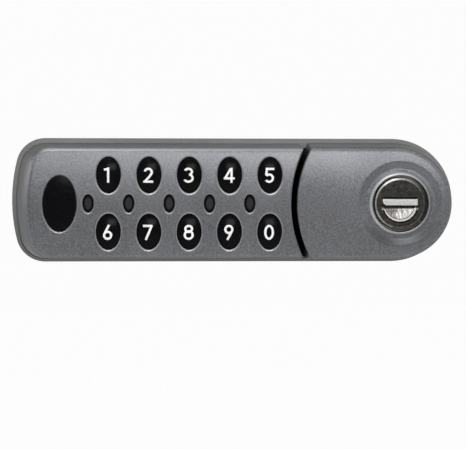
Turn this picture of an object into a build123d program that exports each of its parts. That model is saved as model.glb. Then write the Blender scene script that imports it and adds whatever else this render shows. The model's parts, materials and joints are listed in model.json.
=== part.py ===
from build123d import *
from math import atan2, cos, degrees, hypot, radians, sin, sqrt
import os

# Electronic cabinet lock: a ten-key keypad body and a turning handle on one base plate,
# with a key override in the handle and a cam behind the door.
# Millimetres. X runs along the lock, +Z is up and -Y points out of the door.
# The origin is on the handle's axis, in the plane of the door's front face.
# A value whose name ends in _h is a distance out of the door, which is minus Y.

# Clearances shared by the whole lock
overrun = 2.0          # how far a cutter runs past what it cuts
running_gap = 0.2      # between faces that turn or slide past each other
bearing_gap = 0.08     # round a shaft that turns in its bore
seat_gap = 0.05        # round a piece that is pressed, screwed or keyed into its seat
touch = 0.01           # how near a point has to be to count as on an arc

# Base plate and gasket: a long plate with one round end and one bowed end
half_height = 21.3
end_room = 15.6        # from the bowed end to the battery holder
corner_radius = 10.0
end_bow_radius = 57.0
gasket_thickness = 0.8
gasket_inset = 0.6
gasket_hole_gap = 0.8
base_thickness = 4.5
base_lean = 1.3        # how far the base plate's edge leans in over its thickness
floor_thickness = 1.5
deck_thickness = 2.0   # of the base plate over the locking disc

# Keypad cover and handle shell: both stand on the base plate and share one crowned front
crown_radius = 110.0
cover_step = 0.3       # the cover's foot stands this far inside the base plate's edge
handle_step = 0.05
side_lean = 1.2        # how far the side walls lean in from the base plate to the front
end_lean = 2.1         # the extra lean of the bowed end
nose_lean = 1.3        # the extra lean of the round end
front_edge_radius = 1.8
gap_edge_radius = 0.45
gap_arc_x = 3.4        # centre of the curved gap between cover and handle
cover_gap_radius = 40.5
gap_width = 2.0
cover_wall = 1.8
cover_roof = 2.8       # thickness of the front wall where the crown is highest
handle_wall = 2.0
handle_roof = 3.0

# Keys: two rows of five
key_columns = 5
column_room = 7.24     # from the curved gap to the nearest column
key_edge = 5.93        # from the lock's long edge to a key
rows_gap = 7.26        # between the two rows
key_half_width = 3.9
key_gap = 0.24
key_proud = 0.3        # how far a key's crown stands out of the front
key_crown_radius = 16.0
key_travel = 0.7
key_flange = 0.8       # how far the flange reaches past the cap
key_flange_thickness = 0.9
key_post_radius = 1.6
rim_radius = 0.5       # rounded edge of each opening in the front

# Indicator windows: one to the left of each column, on the centre line
window_half_width = 1.55
window_half_tall = 2.75
window_gap = 0.3
window_flange = 0.7
window_post_radius = 1.2

# Badge
badge_edge = 16.3      # from the bowed end to the badge's centre
badge_room = 9.56      # from the badge's centre to the first window
badge_half_width = 5.6
badge_half_tall = 9.4
badge_gap = 0.1
badge_depth = 1.1
badge_crown = 0.35

# Keypad stack under the front wall
board_thickness = 1.4
membrane_thickness = 0.9
dome_play = 0.1        # left of a dome's height when its key is down
dome_foot_radius = 2.7
dome_top_radius = 1.9
board_room = 2.95      # between the cells and the board
board_play = 0.4       # between the board and the cover's long walls
board_past_window = 1.6
board_past_column = 3.45
membrane_margin = 0.5
board_boss_radius = 1.8
board_boss_edge = 2.9
board_screw_radius = 0.8
board_screw_bite = 1.8
small_head_radius = 1.5
small_head_height = 1.1

# Parts on the board
led_size = 1.6
led_height = 0.6
chip_size = 8.0
chip_height = 1.2
chip_end = 23.0        # from the board's left end to the chip's centre
chip_side = 7.3        # from the board's long edge to the chip's centre
buzzer_radius = 4.6
buzzer_height = 3.0
buzzer_end = 17.8      # from the board's right end to the buzzer's centre
buzzer_side = 6.8

# Screws that hold the cover to the base plate from behind
cover_screw_radius = 1.25
cover_head_radius = 2.2
cover_head_height = 1.5
cover_boss_radius = 2.2
cover_pad_height = 2.0  # how far the base plate's pads rise above its floor
cover_pad_wall = 1.0
cover_screw_bite = 5.0
left_screw_end = 12.3  # from the bowed end
left_screw_side = 7.5  # from the lock's long edge
right_screw_room = 1.3
right_screw_side = 5.7 # from the long edge to the screws beside the handle

# Fixing holes that take the door screws
door_screw_hole_radius = 1.65
door_screw_depth = 7.2
door_boss_radius = 4.5
door_boss_height = 6.7
door_screw_end = 9.3   # from the bowed end

# Battery holder and its two cells
holder_gap = 0.5       # between the holder and the motor
cell_radius = 5.2
cell_body_length = 43.3
cell_nub_radius = 1.9
cell_nub_length = 1.2
cell_divider = 1.0
holder_wall = 1.1
holder_floor = 0.9
holder_height = 7.0
cell_play = 0.1
contact_thickness = 0.4
contact_width = 8.0
spring_length = 2.2
spring_radius = 3.1
spring_tip_radius = 2.3
spring_wire = 0.5

# Motor, its screw and the blocking bolt
motor_length = 18.0
motor_side_room = 3.7  # between the motor and the base plate's long wall
motor_height = 8.0
motor_room = 8.6       # from the wall along the gap to the motor, for the screw and its nut
motor_neck_radius = 2.0
motor_neck_length = 0.6
clamp_thickness = 0.6
clamp_width = 4.0
clamp_gap = 0.3
clamp_set_back = 14.5  # from the motor's front
clamp_screw_radius = 0.7
clamp_head_radius = 1.3
clamp_screw_bite = 1.3
drive_screw_radius = 1.4
drive_screw_length = 6.0
nut_width = 4.4
nut_thickness = 2.0
nut_rise = 2.6         # nut block above the screw's centre
bolt_travel = 2.25
bolt_thickness = 1.4
bolt_width = 5.8
bolt_wing = 4.0

# Locking disc, on the spindle under the deck
disc_room = 0.7        # between the disc's rim and the wall of its recess
notch_depth = 2.45
notch_angle = 180.0    # the notch that faces the bolt at rest, seen from the front
notch_gap = 0.3
tab_reach = 2.0
tab_width = 5.0
tab_angle = 45.0       # where the stop tab stands at rest, seen from the front
handle_turn = 90.0
rear_plate_thickness = 0.8
rear_plate_edge = 2.1   # from the lock's round end to the plate
rear_plate_margin = 1.0
plate_screw_radius = 0.75
plate_head_radius = 1.2
plate_screw_length = 2.2
plate_screw_edge = 1.45
plate_screw_angles = (110, 155, 205, 250)
spindle_nut_ring = 2.6
spindle_nut_thickness = 1.3
nut_slot_width = 2.2
nut_slot_depth = 1.1
nut_slot_angles = (45, 135, 225, 315)

# Lock cylinder in the handle: housing, plug and key override
bore_radius = 9.6
plug_head_gap = 0.65
plug_set_back = 0.7    # plug face behind the crown of the front
plug_head_height = 3.6
plug_edge = 1.1        # width of the bevel round the plug's face
plug_edge_depth = 0.5
housing_wall = 3.0
plug_length = 11.2
shank_radius = 8.0
barrel_wall = 2.3
barrel_length = 15.0   # the thickest door that the cam clears
seat_step = 0.5        # from the shank to the seat that the locking disc is keyed on
seat_flat = 0.7        # depth of the seat's two flats
hub_wall = 3.6
hub_flange_thickness = 2.2
washer_thickness = 0.5
washer_inset = 0.4
handle_screw_radius = 1.0
handle_screw_edge = 1.6
handle_screw_head = 1.6
handle_screw_bite = 5.0
handle_screw_count = 3
dish_width = 4.5
dish_slope = 2.2       # width of the slope from the front down to the dish's floor
dish_depth = 0.9       # of the dish's floor under the crowned front, which it follows
dish_edge_radius = 2.0
lip_set_back = 0.6     # crest of the flat lip behind the crown of the front
lip_width = 0.4
lip_slope = 1.45       # width of the lip's flank over one millimetre of height
lip_edge_radius = 0.17
rib_thickness = 1.6

# Keyway, shutter and scoop in the plug's face
slot_half_width = 6.0
slot_top = 1.7
slot_bottom = 1.45
slot_depth = 3.1
blade_half_width = 4.6
blade_half_tall = 1.1
shutter_height = 2.2
shutter_thickness = 0.9
shutter_side_gap = 0.1
shutter_set_back = 0.05
shutter_pin_radius = 0.25
shutter_pin_bite = 0.9
scoop_radius = 5.8
scoop_centre = 0.3     # below the axis
scoop_deep = 1.7
scoop_shallow = 0.25
wafer_count = 6
wafer_pitch = 1.7
wafer_thickness = 0.75
wafer_half_tall = 2.4
wafer_half_width = 6.2
wafer_start = 1.6      # first wafer below the shutter's pocket

# Cam behind the door
cam_thickness = 2.5
cam_hub_radius = 9.0
cam_tip_radius = 6.0
cam_reach = 31.0
cam_flat = 3.2
cam_bolt_radius = 2.0
cam_bolt_depth = 8.0
cam_bolt_head = 3.5
cam_bolt_head_height = 2.4
cam_bolt_socket = 1.5
cam_washer_radius = 5.5
cam_washer_thickness = 0.8

# Places that follow from the sizes above: heights, from the door outwards
base_top_h = gasket_thickness + base_thickness
floor_h = gasket_thickness + floor_thickness
disc_top_h = base_top_h - deck_thickness - running_gap
disc_h = disc_top_h - bolt_thickness
pad_h = floor_h + cover_pad_height
motor_h = floor_h + motor_height / 2
cell_h = floor_h + holder_floor + cell_radius + cell_play
board_h = cell_h + cell_radius + board_room
membrane_h = board_h + board_thickness
dome_height = key_travel + dome_play
post_h = membrane_h + membrane_thickness + dome_height + seat_gap
key_flange_h = post_h + running_gap * 2
key_flange_top_h = key_flange_h + key_flange_thickness
cavity_top_h = key_flange_top_h + running_gap / 2
front_h = cavity_top_h + cover_roof
handle_cavity_h = front_h - handle_roof
handle_foot_h = base_top_h + running_gap
plug_face_h = front_h - plug_set_back
plug_shoulder_h = plug_face_h - plug_head_height
plug_body_h = plug_shoulder_h - plug_length
hub_foot_h = base_top_h + washer_thickness + hub_flange_thickness
housing_front_h = plug_shoulder_h - running_gap / 2
housing_step_h = plug_body_h - running_gap / 2
cam_h = -barrel_length - running_gap

# Places that follow: the lock cylinder and the locking disc, from the axis outwards
seat_radius = shank_radius - seat_step
barrel_radius = seat_radius - seat_flat
tail_radius = barrel_radius - barrel_wall
spindle_nut_radius = barrel_radius + spindle_nut_ring
plug_radius = bore_radius - housing_wall
plug_head_radius = bore_radius - plug_head_gap
hub_radius = bore_radius + hub_wall
handle_screw_ring = bore_radius + handle_screw_edge
dish_radius = bore_radius + dish_width
rear_plate_radius = half_height - rear_plate_edge
plate_screw_ring = rear_plate_radius - plate_screw_edge
disc_radius = rear_plate_radius - rear_plate_margin - tab_reach - disc_room
bolt_tip = disc_radius + disc_room / 2

# Places that follow: along the lock, from the handle's axis to the bowed end
cover_inset = base_lean + cover_step
handle_inset = base_lean + handle_step
handle_gap_radius = cover_gap_radius - gap_width
gap_x = cover_gap_radius - gap_arc_x
motor_front = gap_x + cover_wall + motor_room
nut_left = motor_front - motor_neck_length - running_gap * 3
holder_right = motor_front + motor_length + holder_gap
cell_left = holder_right + holder_wall + contact_thickness + cell_nub_length + cell_body_length
holder_left = cell_left + spring_length + contact_thickness + holder_wall
far_end = holder_left + end_room
badge_x = far_end - badge_edge
last_column = gap_x + column_room
key_pitch = (badge_x - badge_room - last_column) / (key_columns - 1 / 2)
left_screw_x = far_end - left_screw_end
right_screw_x = gap_x + right_screw_room
door_screw_left = far_end - door_screw_end
door_screw_right = motor_front + door_boss_radius
clamp_x = motor_front + clamp_set_back

# Places that follow: across the lock, from its centre line to its long edges
inner_half_tall = half_height - cover_inset - cover_wall
key_half_tall = (half_height - key_edge - rows_gap / 2) / 2
key_row = rows_gap / 2 + key_half_tall
cell_row = cell_radius + cell_play + cell_divider / 2
motor_side = door_boss_radius + running_gap
motor_width = inner_half_tall - motor_side_room - motor_side
motor_row = motor_side + motor_width / 2
clamp_foot = motor_side_room - clamp_gap
left_screw_row = half_height - left_screw_side
right_screw_row = half_height - right_screw_side
board_half_tall = inner_half_tall - side_lean - board_play
board_boss_row = board_half_tall - board_boss_edge
column_places = [-(last_column + key_pitch * i) for i in range(key_columns)]
window_places = [x - key_pitch / 2 for x in column_places]
key_places = [(x, key_row) for x in reversed(column_places)]
key_places += [(x, -key_row) for x in reversed(column_places)]
key_digits = "1234567890"
board_left = -window_places[-1] + board_past_window
board_right = last_column - board_past_column
chip_x = board_left - chip_end
chip_z = board_half_tall - chip_side
buzzer_x = board_right + buzzer_end
buzzer_z = buzzer_side - board_half_tall


def out_plane(h):
    """Plane parallel to the door and h in front of it, with X right and Z up from the front."""
    return Plane.XZ.offset(h)


def slab(face, low_h, high_h):
    """A flat outline given thickness between two heights."""
    return extrude(out_plane(low_h) * face, amount=high_h - low_h, dir=(0, -1, 0))


def disc(radius, low_h, high_h, x=0, z=0):
    """A cylinder that points out of the door."""
    return slab(Pos(x, z) * Circle(radius), low_h, high_h)


def oval(half_width, half_tall, low_h, high_h, x=0, z=0):
    """An upright oval that points out of the door."""
    return slab(Pos(x, z) * Ellipse(half_width, half_tall), low_h, high_h)


def block(left, right, low_z, high_z, low_h, high_h):
    """A box between two X values, two Z values and two heights."""
    face = Pos((left + right) / 2, (low_z + high_z) / 2) * Rectangle(right - left, high_z - low_z)
    return slab(face, low_h, high_h)


def rod(radius, left, right, h, z):
    """A cylinder along X, centred at height h."""
    middle = Plane(origin=((left + right) / 2, -h, z), z_dir=(1, 0, 0))
    return middle * Cylinder(radius, right - left)


def side_prism(points, half_width):
    """An outline of (height, z) points given thickness along X, both ways from the axis."""
    outline = Plane.YZ * make_face(Polyline(*[(-h, z) for h, z in points], close=True))
    return extrude(outline, amount=half_width, both=True)


def middle_of(shape):
    """Centre of a shape's box, as (x, height, z)."""
    place = shape.bounding_box().center()
    return place.X, -place.Y, place.Z


def lock_outline(inset, end_shift=0, nose_shift=0):
    """The lock seen from the front: round about the axis, straight sides, a bowed far end."""
    half = half_height - inset
    corner = corner_radius - inset
    bow = end_bow_radius - inset
    bow_x = end_bow_radius - far_end + end_shift
    corner_z = half - corner
    corner_x = bow_x - sqrt((bow - corner) ** 2 - corner_z**2)
    turn = degrees(atan2(corner_z, corner_x - bow_x))
    edges = [
        Line((-nose_shift, half), (corner_x, half)),
        CenterArc((corner_x, corner_z), corner, 90, turn - 90),
        CenterArc((bow_x, 0), bow, turn, 360 - 2 * turn),
        CenterArc((corner_x, -corner_z), corner, -turn, turn - 90),
        Line((corner_x, -half), (-nose_shift, -half)),
        CenterArc((-nose_shift, 0), half, -90, 180),
    ]
    return Face(Wire(edges))


def leaning_block(foot_inset, low_h, high_h, thinner=0):
    """The lock's outline between two heights, with the lean of its walls; thinner gives the inside."""
    sections = []
    for h in (low_h, high_h):
        share = (h - base_top_h) / (front_h - base_top_h)
        inset = foot_inset + side_lean * share + thinner
        outline = lock_outline(inset, end_lean * share, nose_lean * share)
        sections.append(out_plane(h) * outline)
    return loft(sections, ruled=True)


def crown_drum(depth=0):
    """The long drum under the crowned front, or under a surface at that depth behind it."""
    place = Plane(origin=(-far_end / 2, crown_radius - front_h, 0), z_dir=(1, 0, 0))
    return place * Cylinder(crown_radius - depth, far_end * 2)


def crowned(shape):
    """The part of a shape under the crowned front."""
    return shape & crown_drum()


def gap_drum(radius):
    """The upright drum whose wall is the curved gap."""
    return disc(radius, -overrun, front_h + overrun, x=gap_arc_x)


def front_height(z):
    """Height of the crowned front at a given Z."""
    return front_h - crown_radius + sqrt(crown_radius**2 - z**2)


def rounded_shell(shape, radius):
    """Round the front edges, and less so the edges along the curved gap."""
    front = shape.faces().sort_by(Axis.Y)[0]
    outer, inner = [], []
    for edge in front.edges():
        point = edge.position_at(1 / 2)
        along_gap = abs(hypot(point.X - gap_arc_x, point.Z) - radius) < touch
        (inner if along_gap else outer).append(edge)
    shape = fillet(outer, front_edge_radius)
    wall = [f for f in shape.faces() if f.geom_type == GeomType.CYLINDER and is_gap_wall(f, radius)]
    edges = [e for f in wall for e in f.edges() if middle_of(e)[1] > (base_top_h + front_h) / 2]
    return fillet([e for e in edges if not is_upright(e)], gap_edge_radius)


def is_gap_wall(face, radius):
    """Whether a face lies on the gap's drum."""
    point = face.position_at(1 / 2, 1 / 2)
    return abs(hypot(point.X - gap_arc_x, point.Z) - radius) < touch


def is_upright(edge):
    """Whether an edge runs mostly out of the door."""
    box = edge.bounding_box().size
    return box.Y > max(box.X, box.Z)


def rounded_rims(shape, places, reach):
    """Round the front rim of each opening centred at the given places."""
    rims = []
    for edge in shape.edges():
        x, h, z = middle_of(edge)
        near = any(hypot(x - px, z - pz) < reach for px, pz in places)
        if near and edge.is_closed and h > front_h - badge_depth + rim_radius:
            rims.append(edge)
    return fillet(rims, rim_radius)


def cover_screw_places():
    """The four screws that hold the cover down."""
    left = [(-left_screw_x, left_screw_row), (-left_screw_x, -left_screw_row)]
    return left + [(-right_screw_x, right_screw_row), (-right_screw_x, -right_screw_row)]


def clamp_screw_place():
    """The screw of the motor's strap, above the motor."""
    return -clamp_x, motor_row + motor_width / 2 + clamp_foot - clamp_head_radius - seat_gap


def board_screw_places():
    """Four screws between columns of keys: beside the first and the last but one window."""
    columns = (window_places[0], window_places[-2])
    return [(x, z) for x in columns for z in (board_boss_row, -board_boss_row)]


def door_screw_places():
    """The two threaded holes for the screws that come through the door."""
    return [(-door_screw_left, 0), (-door_screw_right, 0)]


def plate_screw_places():
    """Screws of the rear plate, clear of the stop tab's sweep and of the bolt's channel."""
    places = []
    for angle in plate_screw_angles:
        turn = radians(angle)
        places.append((plate_screw_ring * cos(turn), plate_screw_ring * sin(turn)))
    return places


def build_keypad_cover():
    """Drafted shell with a crowned front, openings for keys, windows and badge, and screw bosses."""
    shell = crowned(leaning_block(cover_inset, base_top_h, front_h + overrun)) - gap_drum(cover_gap_radius)
    shell = rounded_shell(shell, cover_gap_radius)
    inside = leaning_block(cover_inset, base_top_h - overrun, cavity_top_h, cover_wall)
    shell -= inside - gap_drum(cover_gap_radius + cover_wall)
    for x, z in cover_screw_places():
        shell += disc(cover_boss_radius, pad_h, cavity_top_h, x, z)
        top_h = pad_h + cover_screw_bite + seat_gap
        shell -= disc(cover_screw_radius + seat_gap, pad_h - overrun, top_h, x, z)
    for x, z in board_screw_places():
        shell += disc(board_boss_radius, board_h + board_thickness, cavity_top_h, x, z)
        top_h = board_h + board_thickness + board_screw_bite + seat_gap
        shell -= disc(board_screw_radius + seat_gap, board_h, top_h, x, z)
    through_h = front_h + overrun
    for x, z in key_places:
        shell -= oval(key_half_width + key_gap, key_half_tall + key_gap, board_h, through_h, x, z)
    for x in window_places:
        shell -= oval(window_half_width + window_gap, window_half_tall + window_gap, board_h, through_h, x)
    badge_wide, badge_tall = badge_half_width + badge_gap, badge_half_tall + badge_gap
    shell -= oval(badge_wide, badge_tall, front_h - badge_depth, through_h, -badge_x)
    openings = key_places + [(x, 0) for x in window_places] + [(-badge_x, 0)]
    return rounded_rims(shell, openings, key_half_width / 2)


def build_badge():
    """Plain glossy oval let into the cover, crowned like the front and a little proud."""
    top_h = front_h + badge_crown
    badge = oval(badge_half_width, badge_half_tall, front_h - badge_depth, top_h, -badge_x)
    radius = (badge_half_tall**2 + badge_crown**2) / (2 * badge_crown)
    drop = radius - sqrt(radius**2 - badge_half_tall**2) + front_h - front_height(badge_half_tall)
    dome_radius = (badge_half_tall**2 + drop**2) / (2 * drop)
    return badge & Pos(-badge_x, dome_radius - top_h, 0) * Sphere(dome_radius)


def build_key(x, z):
    """Oval key cap with a crowned top, a flange that the cover holds in, and a post on its dome."""
    cap = oval(key_half_width, key_half_tall, key_flange_h, front_h + overrun, x, z)
    sphere_h = front_height(z) + key_proud - key_crown_radius
    cap &= Pos(x, -sphere_h, z) * Sphere(key_crown_radius)
    flange_wide, flange_tall = key_half_width + key_flange, key_half_tall + key_flange
    cap += oval(flange_wide, flange_tall, key_flange_h, key_flange_top_h, x, z)
    return cap + disc(key_post_radius, post_h, key_flange_h, x, z)


def build_membrane():
    """Silicone mat with a dome under each key and holes for the bosses and the window posts."""
    low_h, high_h = membrane_h, membrane_h + membrane_thickness
    half_tall = board_half_tall - membrane_margin
    left, right = membrane_margin - board_left, -board_right - membrane_margin
    mat = block(left, right, -half_tall, half_tall, low_h, high_h)
    for x, z in key_places:
        foot = out_plane(high_h) * (Pos(x, z) * Circle(dome_foot_radius))
        top = out_plane(high_h + dome_height) * (Pos(x, z) * Circle(dome_top_radius))
        mat += loft([foot, top], ruled=True)
        mat -= disc(key_post_radius, low_h, high_h, x, z)
    for x, z in board_screw_places():
        mat -= disc(board_boss_radius + running_gap, low_h, high_h, x, z)
    for x in window_places:
        mat -= disc(window_post_radius + running_gap, low_h, high_h, x)
    return mat


def build_indicator_window(x):
    """Flush dark window whose post carries the light up from its diode."""
    window = crowned(oval(window_half_width, window_half_tall, key_flange_h, front_h + overrun, x))
    wide, tall = window_half_width + window_flange, window_half_tall + window_flange
    window += oval(wide, tall, key_flange_h, key_flange_top_h, x)
    post_end_h = board_h + board_thickness + led_height + running_gap / 2
    return window + disc(window_post_radius, post_end_h, key_flange_h, x)


def build_circuit_board():
    """Board under the membrane, screwed to four bosses of the cover."""
    high_h = board_h + board_thickness
    board = block(-board_left, -board_right, -board_half_tall, board_half_tall, board_h, high_h)
    for x, z in board_screw_places():
        board -= disc(board_screw_radius + seat_gap, board_h, high_h, x, z)
    return board


def build_board_screw(x, z):
    """Small screw that holds the board up against a boss."""
    screw = disc(small_head_radius, board_h - small_head_height, board_h, x, z)
    return screw + disc(board_screw_radius, board_h, board_h + board_thickness + board_screw_bite, x, z)


def build_led(x):
    """Light-emitting diode on the board under a window."""
    half = led_size / 2
    low_h = board_h + board_thickness
    return block(x - half, x + half, -half, half, low_h, low_h + led_height)


def build_chip():
    """Control chip under the board."""
    half = chip_size / 2
    return block(-chip_x - half, half - chip_x, chip_z - half, chip_z + half, board_h - chip_height, board_h)


def build_buzzer():
    """Round buzzer under the board."""
    return disc(buzzer_radius, board_h - buzzer_height, board_h, -buzzer_x, buzzer_z)


def tab_sector(radius, margin):
    """The stop tab's room: a sector of a disc that the tab sweeps as the handle turns."""
    half_tab = degrees((tab_width / 2 + margin) / disc_radius)
    start = tab_angle - handle_turn - half_tab
    size = handle_turn + 2 * half_tab
    edges = [
        Line((0, 0), (radius * cos(radians(start)), radius * sin(radians(start)))),
        CenterArc((0, 0), radius, start, size),
        Line((radius * cos(radians(start + size)), radius * sin(radians(start + size))), (0, 0)),
    ]
    return Face(Wire(edges))


def bolt_outline(margin, travel=0):
    """The blocking bolt from the front: a tongue towards the disc and a wing to the motor's row."""
    half = bolt_width / 2 + margin
    wing_left = -nut_left - margin
    tongue = Pos((wing_left - bolt_tip + travel) / 2, 0) * Rectangle(-bolt_tip + travel - wing_left, 2 * half)
    wing_wide = bolt_wing + 2 * margin + travel
    wing_top = motor_row + nut_width / 2 + margin
    wing = Pos(wing_left + wing_wide / 2, (wing_top - half) / 2) * Rectangle(wing_wide, wing_top + half)
    return tongue + wing


def plate_outline(margin):
    """Rear plate that closes the disc's recess and the bolt's channel."""
    ring = Circle(rear_plate_radius + margin)
    return ring + bolt_outline(rear_plate_margin + margin, bolt_travel)


def build_base_plate():
    """Cast tray with a deck over the locking disc, a bolt channel and threaded door bosses."""
    foot = out_plane(gasket_thickness) * lock_outline(0)
    top = out_plane(base_top_h) * lock_outline(base_lean)
    base = loft([foot, top], ruled=True)
    pocket = slab(lock_outline(cover_inset + cover_wall), floor_h, base_top_h + overrun)
    base -= pocket - gap_drum(cover_gap_radius + cover_wall)
    for x, z in door_screw_places():
        base += disc(door_boss_radius, floor_h, floor_h + door_boss_height, x, z)
        hole_end_h = gasket_thickness + door_screw_depth
        base -= disc(door_screw_hole_radius, gasket_thickness - overrun, hole_end_h, x, z)
    for x, z in cover_screw_places():
        base += disc(cover_head_radius + cover_pad_wall, floor_h, pad_h, x, z)
        base -= disc(cover_boss_radius + running_gap, pad_h, base_top_h + overrun, x, z)
        base -= disc(cover_screw_radius + running_gap, gasket_thickness - overrun, pad_h + overrun, x, z)
        head_h = gasket_thickness + cover_head_height
        base -= disc(cover_head_radius + running_gap, gasket_thickness - overrun, head_h, x, z)
    plate_top_h = gasket_thickness + rear_plate_thickness
    deck_h = base_top_h - deck_thickness
    base -= slab(plate_outline(seat_gap), gasket_thickness - overrun, plate_top_h)
    base -= disc(disc_radius + disc_room, gasket_thickness, deck_h)
    base -= slab(tab_sector(disc_radius + tab_reach + disc_room, running_gap), gasket_thickness, deck_h)
    base -= slab(bolt_outline(running_gap, bolt_travel), gasket_thickness, deck_h)
    base -= disc(shank_radius + bearing_gap, deck_h - overrun, base_top_h + overrun)
    for x, z in plate_screw_places():
        low_h = gasket_thickness + plate_screw_length + seat_gap
        base -= disc(plate_screw_radius + seat_gap, gasket_thickness, low_h, x, z)
    x, z = clamp_screw_place()
    low_h = floor_h - clamp_screw_bite - seat_gap
    base -= disc(clamp_screw_radius + seat_gap, low_h, floor_h + overrun, x, z)
    return base


def build_rear_gasket():
    """Foam sheet between the lock and the door."""
    gasket = slab(lock_outline(gasket_inset), 0, gasket_thickness)
    gasket -= disc(spindle_nut_radius + gasket_hole_gap, -overrun, overrun)
    for x, z in door_screw_places():
        gasket -= disc(door_screw_hole_radius + gasket_hole_gap, -overrun, overrun, x, z)
    return gasket


def build_rear_plate():
    """Thin steel plate over the disc and the bolt."""
    low_h, high_h = gasket_thickness, gasket_thickness + rear_plate_thickness
    plate = slab(plate_outline(0), low_h, high_h)
    plate -= disc(spindle_nut_radius + gasket_hole_gap, low_h - overrun, high_h + overrun)
    for x, z in plate_screw_places():
        plate -= disc(plate_head_radius + seat_gap, low_h - overrun, high_h + overrun, x, z)
    return plate


def build_plate_screw(x, z):
    """Flush screw of the rear plate."""
    low_h, mid_h = gasket_thickness, gasket_thickness + rear_plate_thickness
    screw = disc(plate_head_radius, low_h, mid_h, x, z)
    return screw + disc(plate_screw_radius, mid_h, low_h + plate_screw_length, x, z)


def build_cover_screw(x, z):
    """Screw from behind through the base plate into a boss of the cover."""
    head_h = gasket_thickness + cover_head_height
    screw = disc(cover_head_radius, gasket_thickness + seat_gap, head_h, x, z)
    return screw + disc(cover_screw_radius, head_h, pad_h + cover_screw_bite, x, z)


def keyed_face(radius, flat):
    """A round shaft with two flats."""
    return Circle(radius) & Rectangle(radius * 2, flat * 2)


def build_locking_disc():
    """Steel disc keyed to the spindle, with a notch for each end of the handle's turn and a stop tab."""
    face = Circle(disc_radius)
    tab = Rectangle(tab_reach + disc_radius / 2, tab_width)
    face += Rot(0, 0, tab_angle) * (Pos(disc_radius * 3 / 4 + tab_reach / 2, 0) * tab)
    notch = Rectangle(notch_depth + overrun, bolt_width + 2 * notch_gap)
    for angle in (notch_angle, notch_angle + handle_turn):
        face -= Rot(0, 0, angle) * (Pos(disc_radius + (overrun - notch_depth) / 2, 0) * notch)
    face -= keyed_face(seat_radius + seat_gap, barrel_radius + seat_gap)
    return slab(face, disc_h, disc_top_h)


def build_spindle_nut():
    """Slotted ring nut that holds the locking disc on."""
    face = Circle(spindle_nut_radius) - Circle(barrel_radius + seat_gap)
    slot = Rectangle(nut_slot_depth * 2, nut_slot_width)
    for angle in nut_slot_angles:
        face -= Rot(0, 0, angle) * (Pos(spindle_nut_radius, 0) * slot)
    return slab(face, disc_h - spindle_nut_thickness, disc_h)


def handle_screw_places():
    """Screws through the housing's flange into the handle's hub."""
    step = 360 / handle_screw_count
    angles = [90 + step * i for i in range(handle_screw_count)]
    return [(handle_screw_ring * cos(radians(a)), handle_screw_ring * sin(radians(a))) for a in angles]


def build_handle():
    """Shell that turns on the axis, with a hub round the cylinder and a dish round its face."""
    shell = crowned(leaning_block(handle_inset, handle_foot_h, front_h + overrun))
    shell &= gap_drum(handle_gap_radius)
    shell = rounded_shell(shell, handle_gap_radius)
    inside = leaning_block(handle_inset, handle_foot_h - overrun, handle_cavity_h, handle_wall)
    inside &= gap_drum(handle_gap_radius - handle_wall)
    hub = disc(hub_radius, hub_foot_h, front_h)
    reach = handle_gap_radius
    rib = block(-reach, reach, -rib_thickness / 2, rib_thickness / 2, hub_foot_h, front_h)
    rib += block(-rib_thickness / 2, rib_thickness / 2, -reach, reach, hub_foot_h, front_h)
    shell -= inside - hub - rib
    shell = dished(shell)
    for x, z in handle_screw_places():
        top_h = hub_foot_h + handle_screw_bite + seat_gap
        shell -= disc(handle_screw_radius + seat_gap, hub_foot_h - overrun, top_h, x, z)
    return shell


def dished(shell):
    """Cut the dish, which follows the crowned front, then stand the flat lip in it round the bore."""
    foot_radius = dish_radius - dish_slope
    shell -= disc(foot_radius, handle_cavity_h, front_h + overrun) - crown_drum(dish_depth)
    front = max(shell.faces(), key=lambda face: face.area if is_crowned(face) else 0)
    edge = [e for e in front.edges() if is_round_about_axis(e, foot_radius)]
    shell = chamfer(edge, dish_slope, dish_depth - touch, reference=front)
    shell = fillet([e for e in shell.edges() if is_round_about_axis(e, dish_radius)], dish_edge_radius)
    lip_h = front_h - lip_set_back
    lip_radius = bore_radius + lip_width
    fall = lip_h - handle_cavity_h
    foot = out_plane(handle_cavity_h) * Circle(lip_radius + fall * lip_slope)
    cone = loft([foot, out_plane(lip_h) * Circle(lip_radius)], ruled=True)
    shell += cone & disc(foot_radius, handle_cavity_h, lip_h)
    shell -= disc(bore_radius, handle_foot_h, front_h + overrun)
    lip = [e for e in shell.edges().filter_by(GeomType.CIRCLE) if abs(middle_of(e)[1] - lip_h) < touch]
    return fillet(lip, lip_edge_radius)


def is_crowned(face):
    """Whether a face lies on the crowned front."""
    point = face.position_at(1 / 2, 1 / 2)
    return face.geom_type == GeomType.CYLINDER and abs(-point.Y - front_height(point.Z)) < touch


def is_round_about_axis(edge, radius):
    """Whether an edge near the front runs round the handle's axis at that radius."""
    point = edge.position_at(1 / 3)
    return -point.Y > handle_cavity_h and abs(hypot(point.X, point.Z) - radius) < touch * 10


def build_cylinder_housing():
    """Housing fixed in the hub; its shank turns in the deck and its barrel goes through the door."""
    flange_h = base_top_h + washer_thickness
    housing = disc(bore_radius - seat_gap, hub_foot_h, housing_front_h)
    housing += disc(hub_radius, flange_h, hub_foot_h)
    housing += disc(shank_radius, disc_top_h, flange_h)
    housing += slab(keyed_face(seat_radius, barrel_radius), disc_h, disc_top_h)
    housing += disc(barrel_radius, -barrel_length, disc_h)
    housing -= disc(plug_radius + bearing_gap, housing_step_h, housing_front_h + overrun)
    housing -= disc(tail_radius + bearing_gap, -barrel_length - overrun, housing_step_h + overrun)
    for x, z in handle_screw_places():
        housing -= disc(handle_screw_radius + running_gap / 2, flange_h, hub_foot_h, x, z)
        head_h = flange_h + small_head_height + seat_gap
        housing -= disc(handle_screw_head + seat_gap, flange_h - overrun, head_h, x, z)
    return housing


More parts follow.
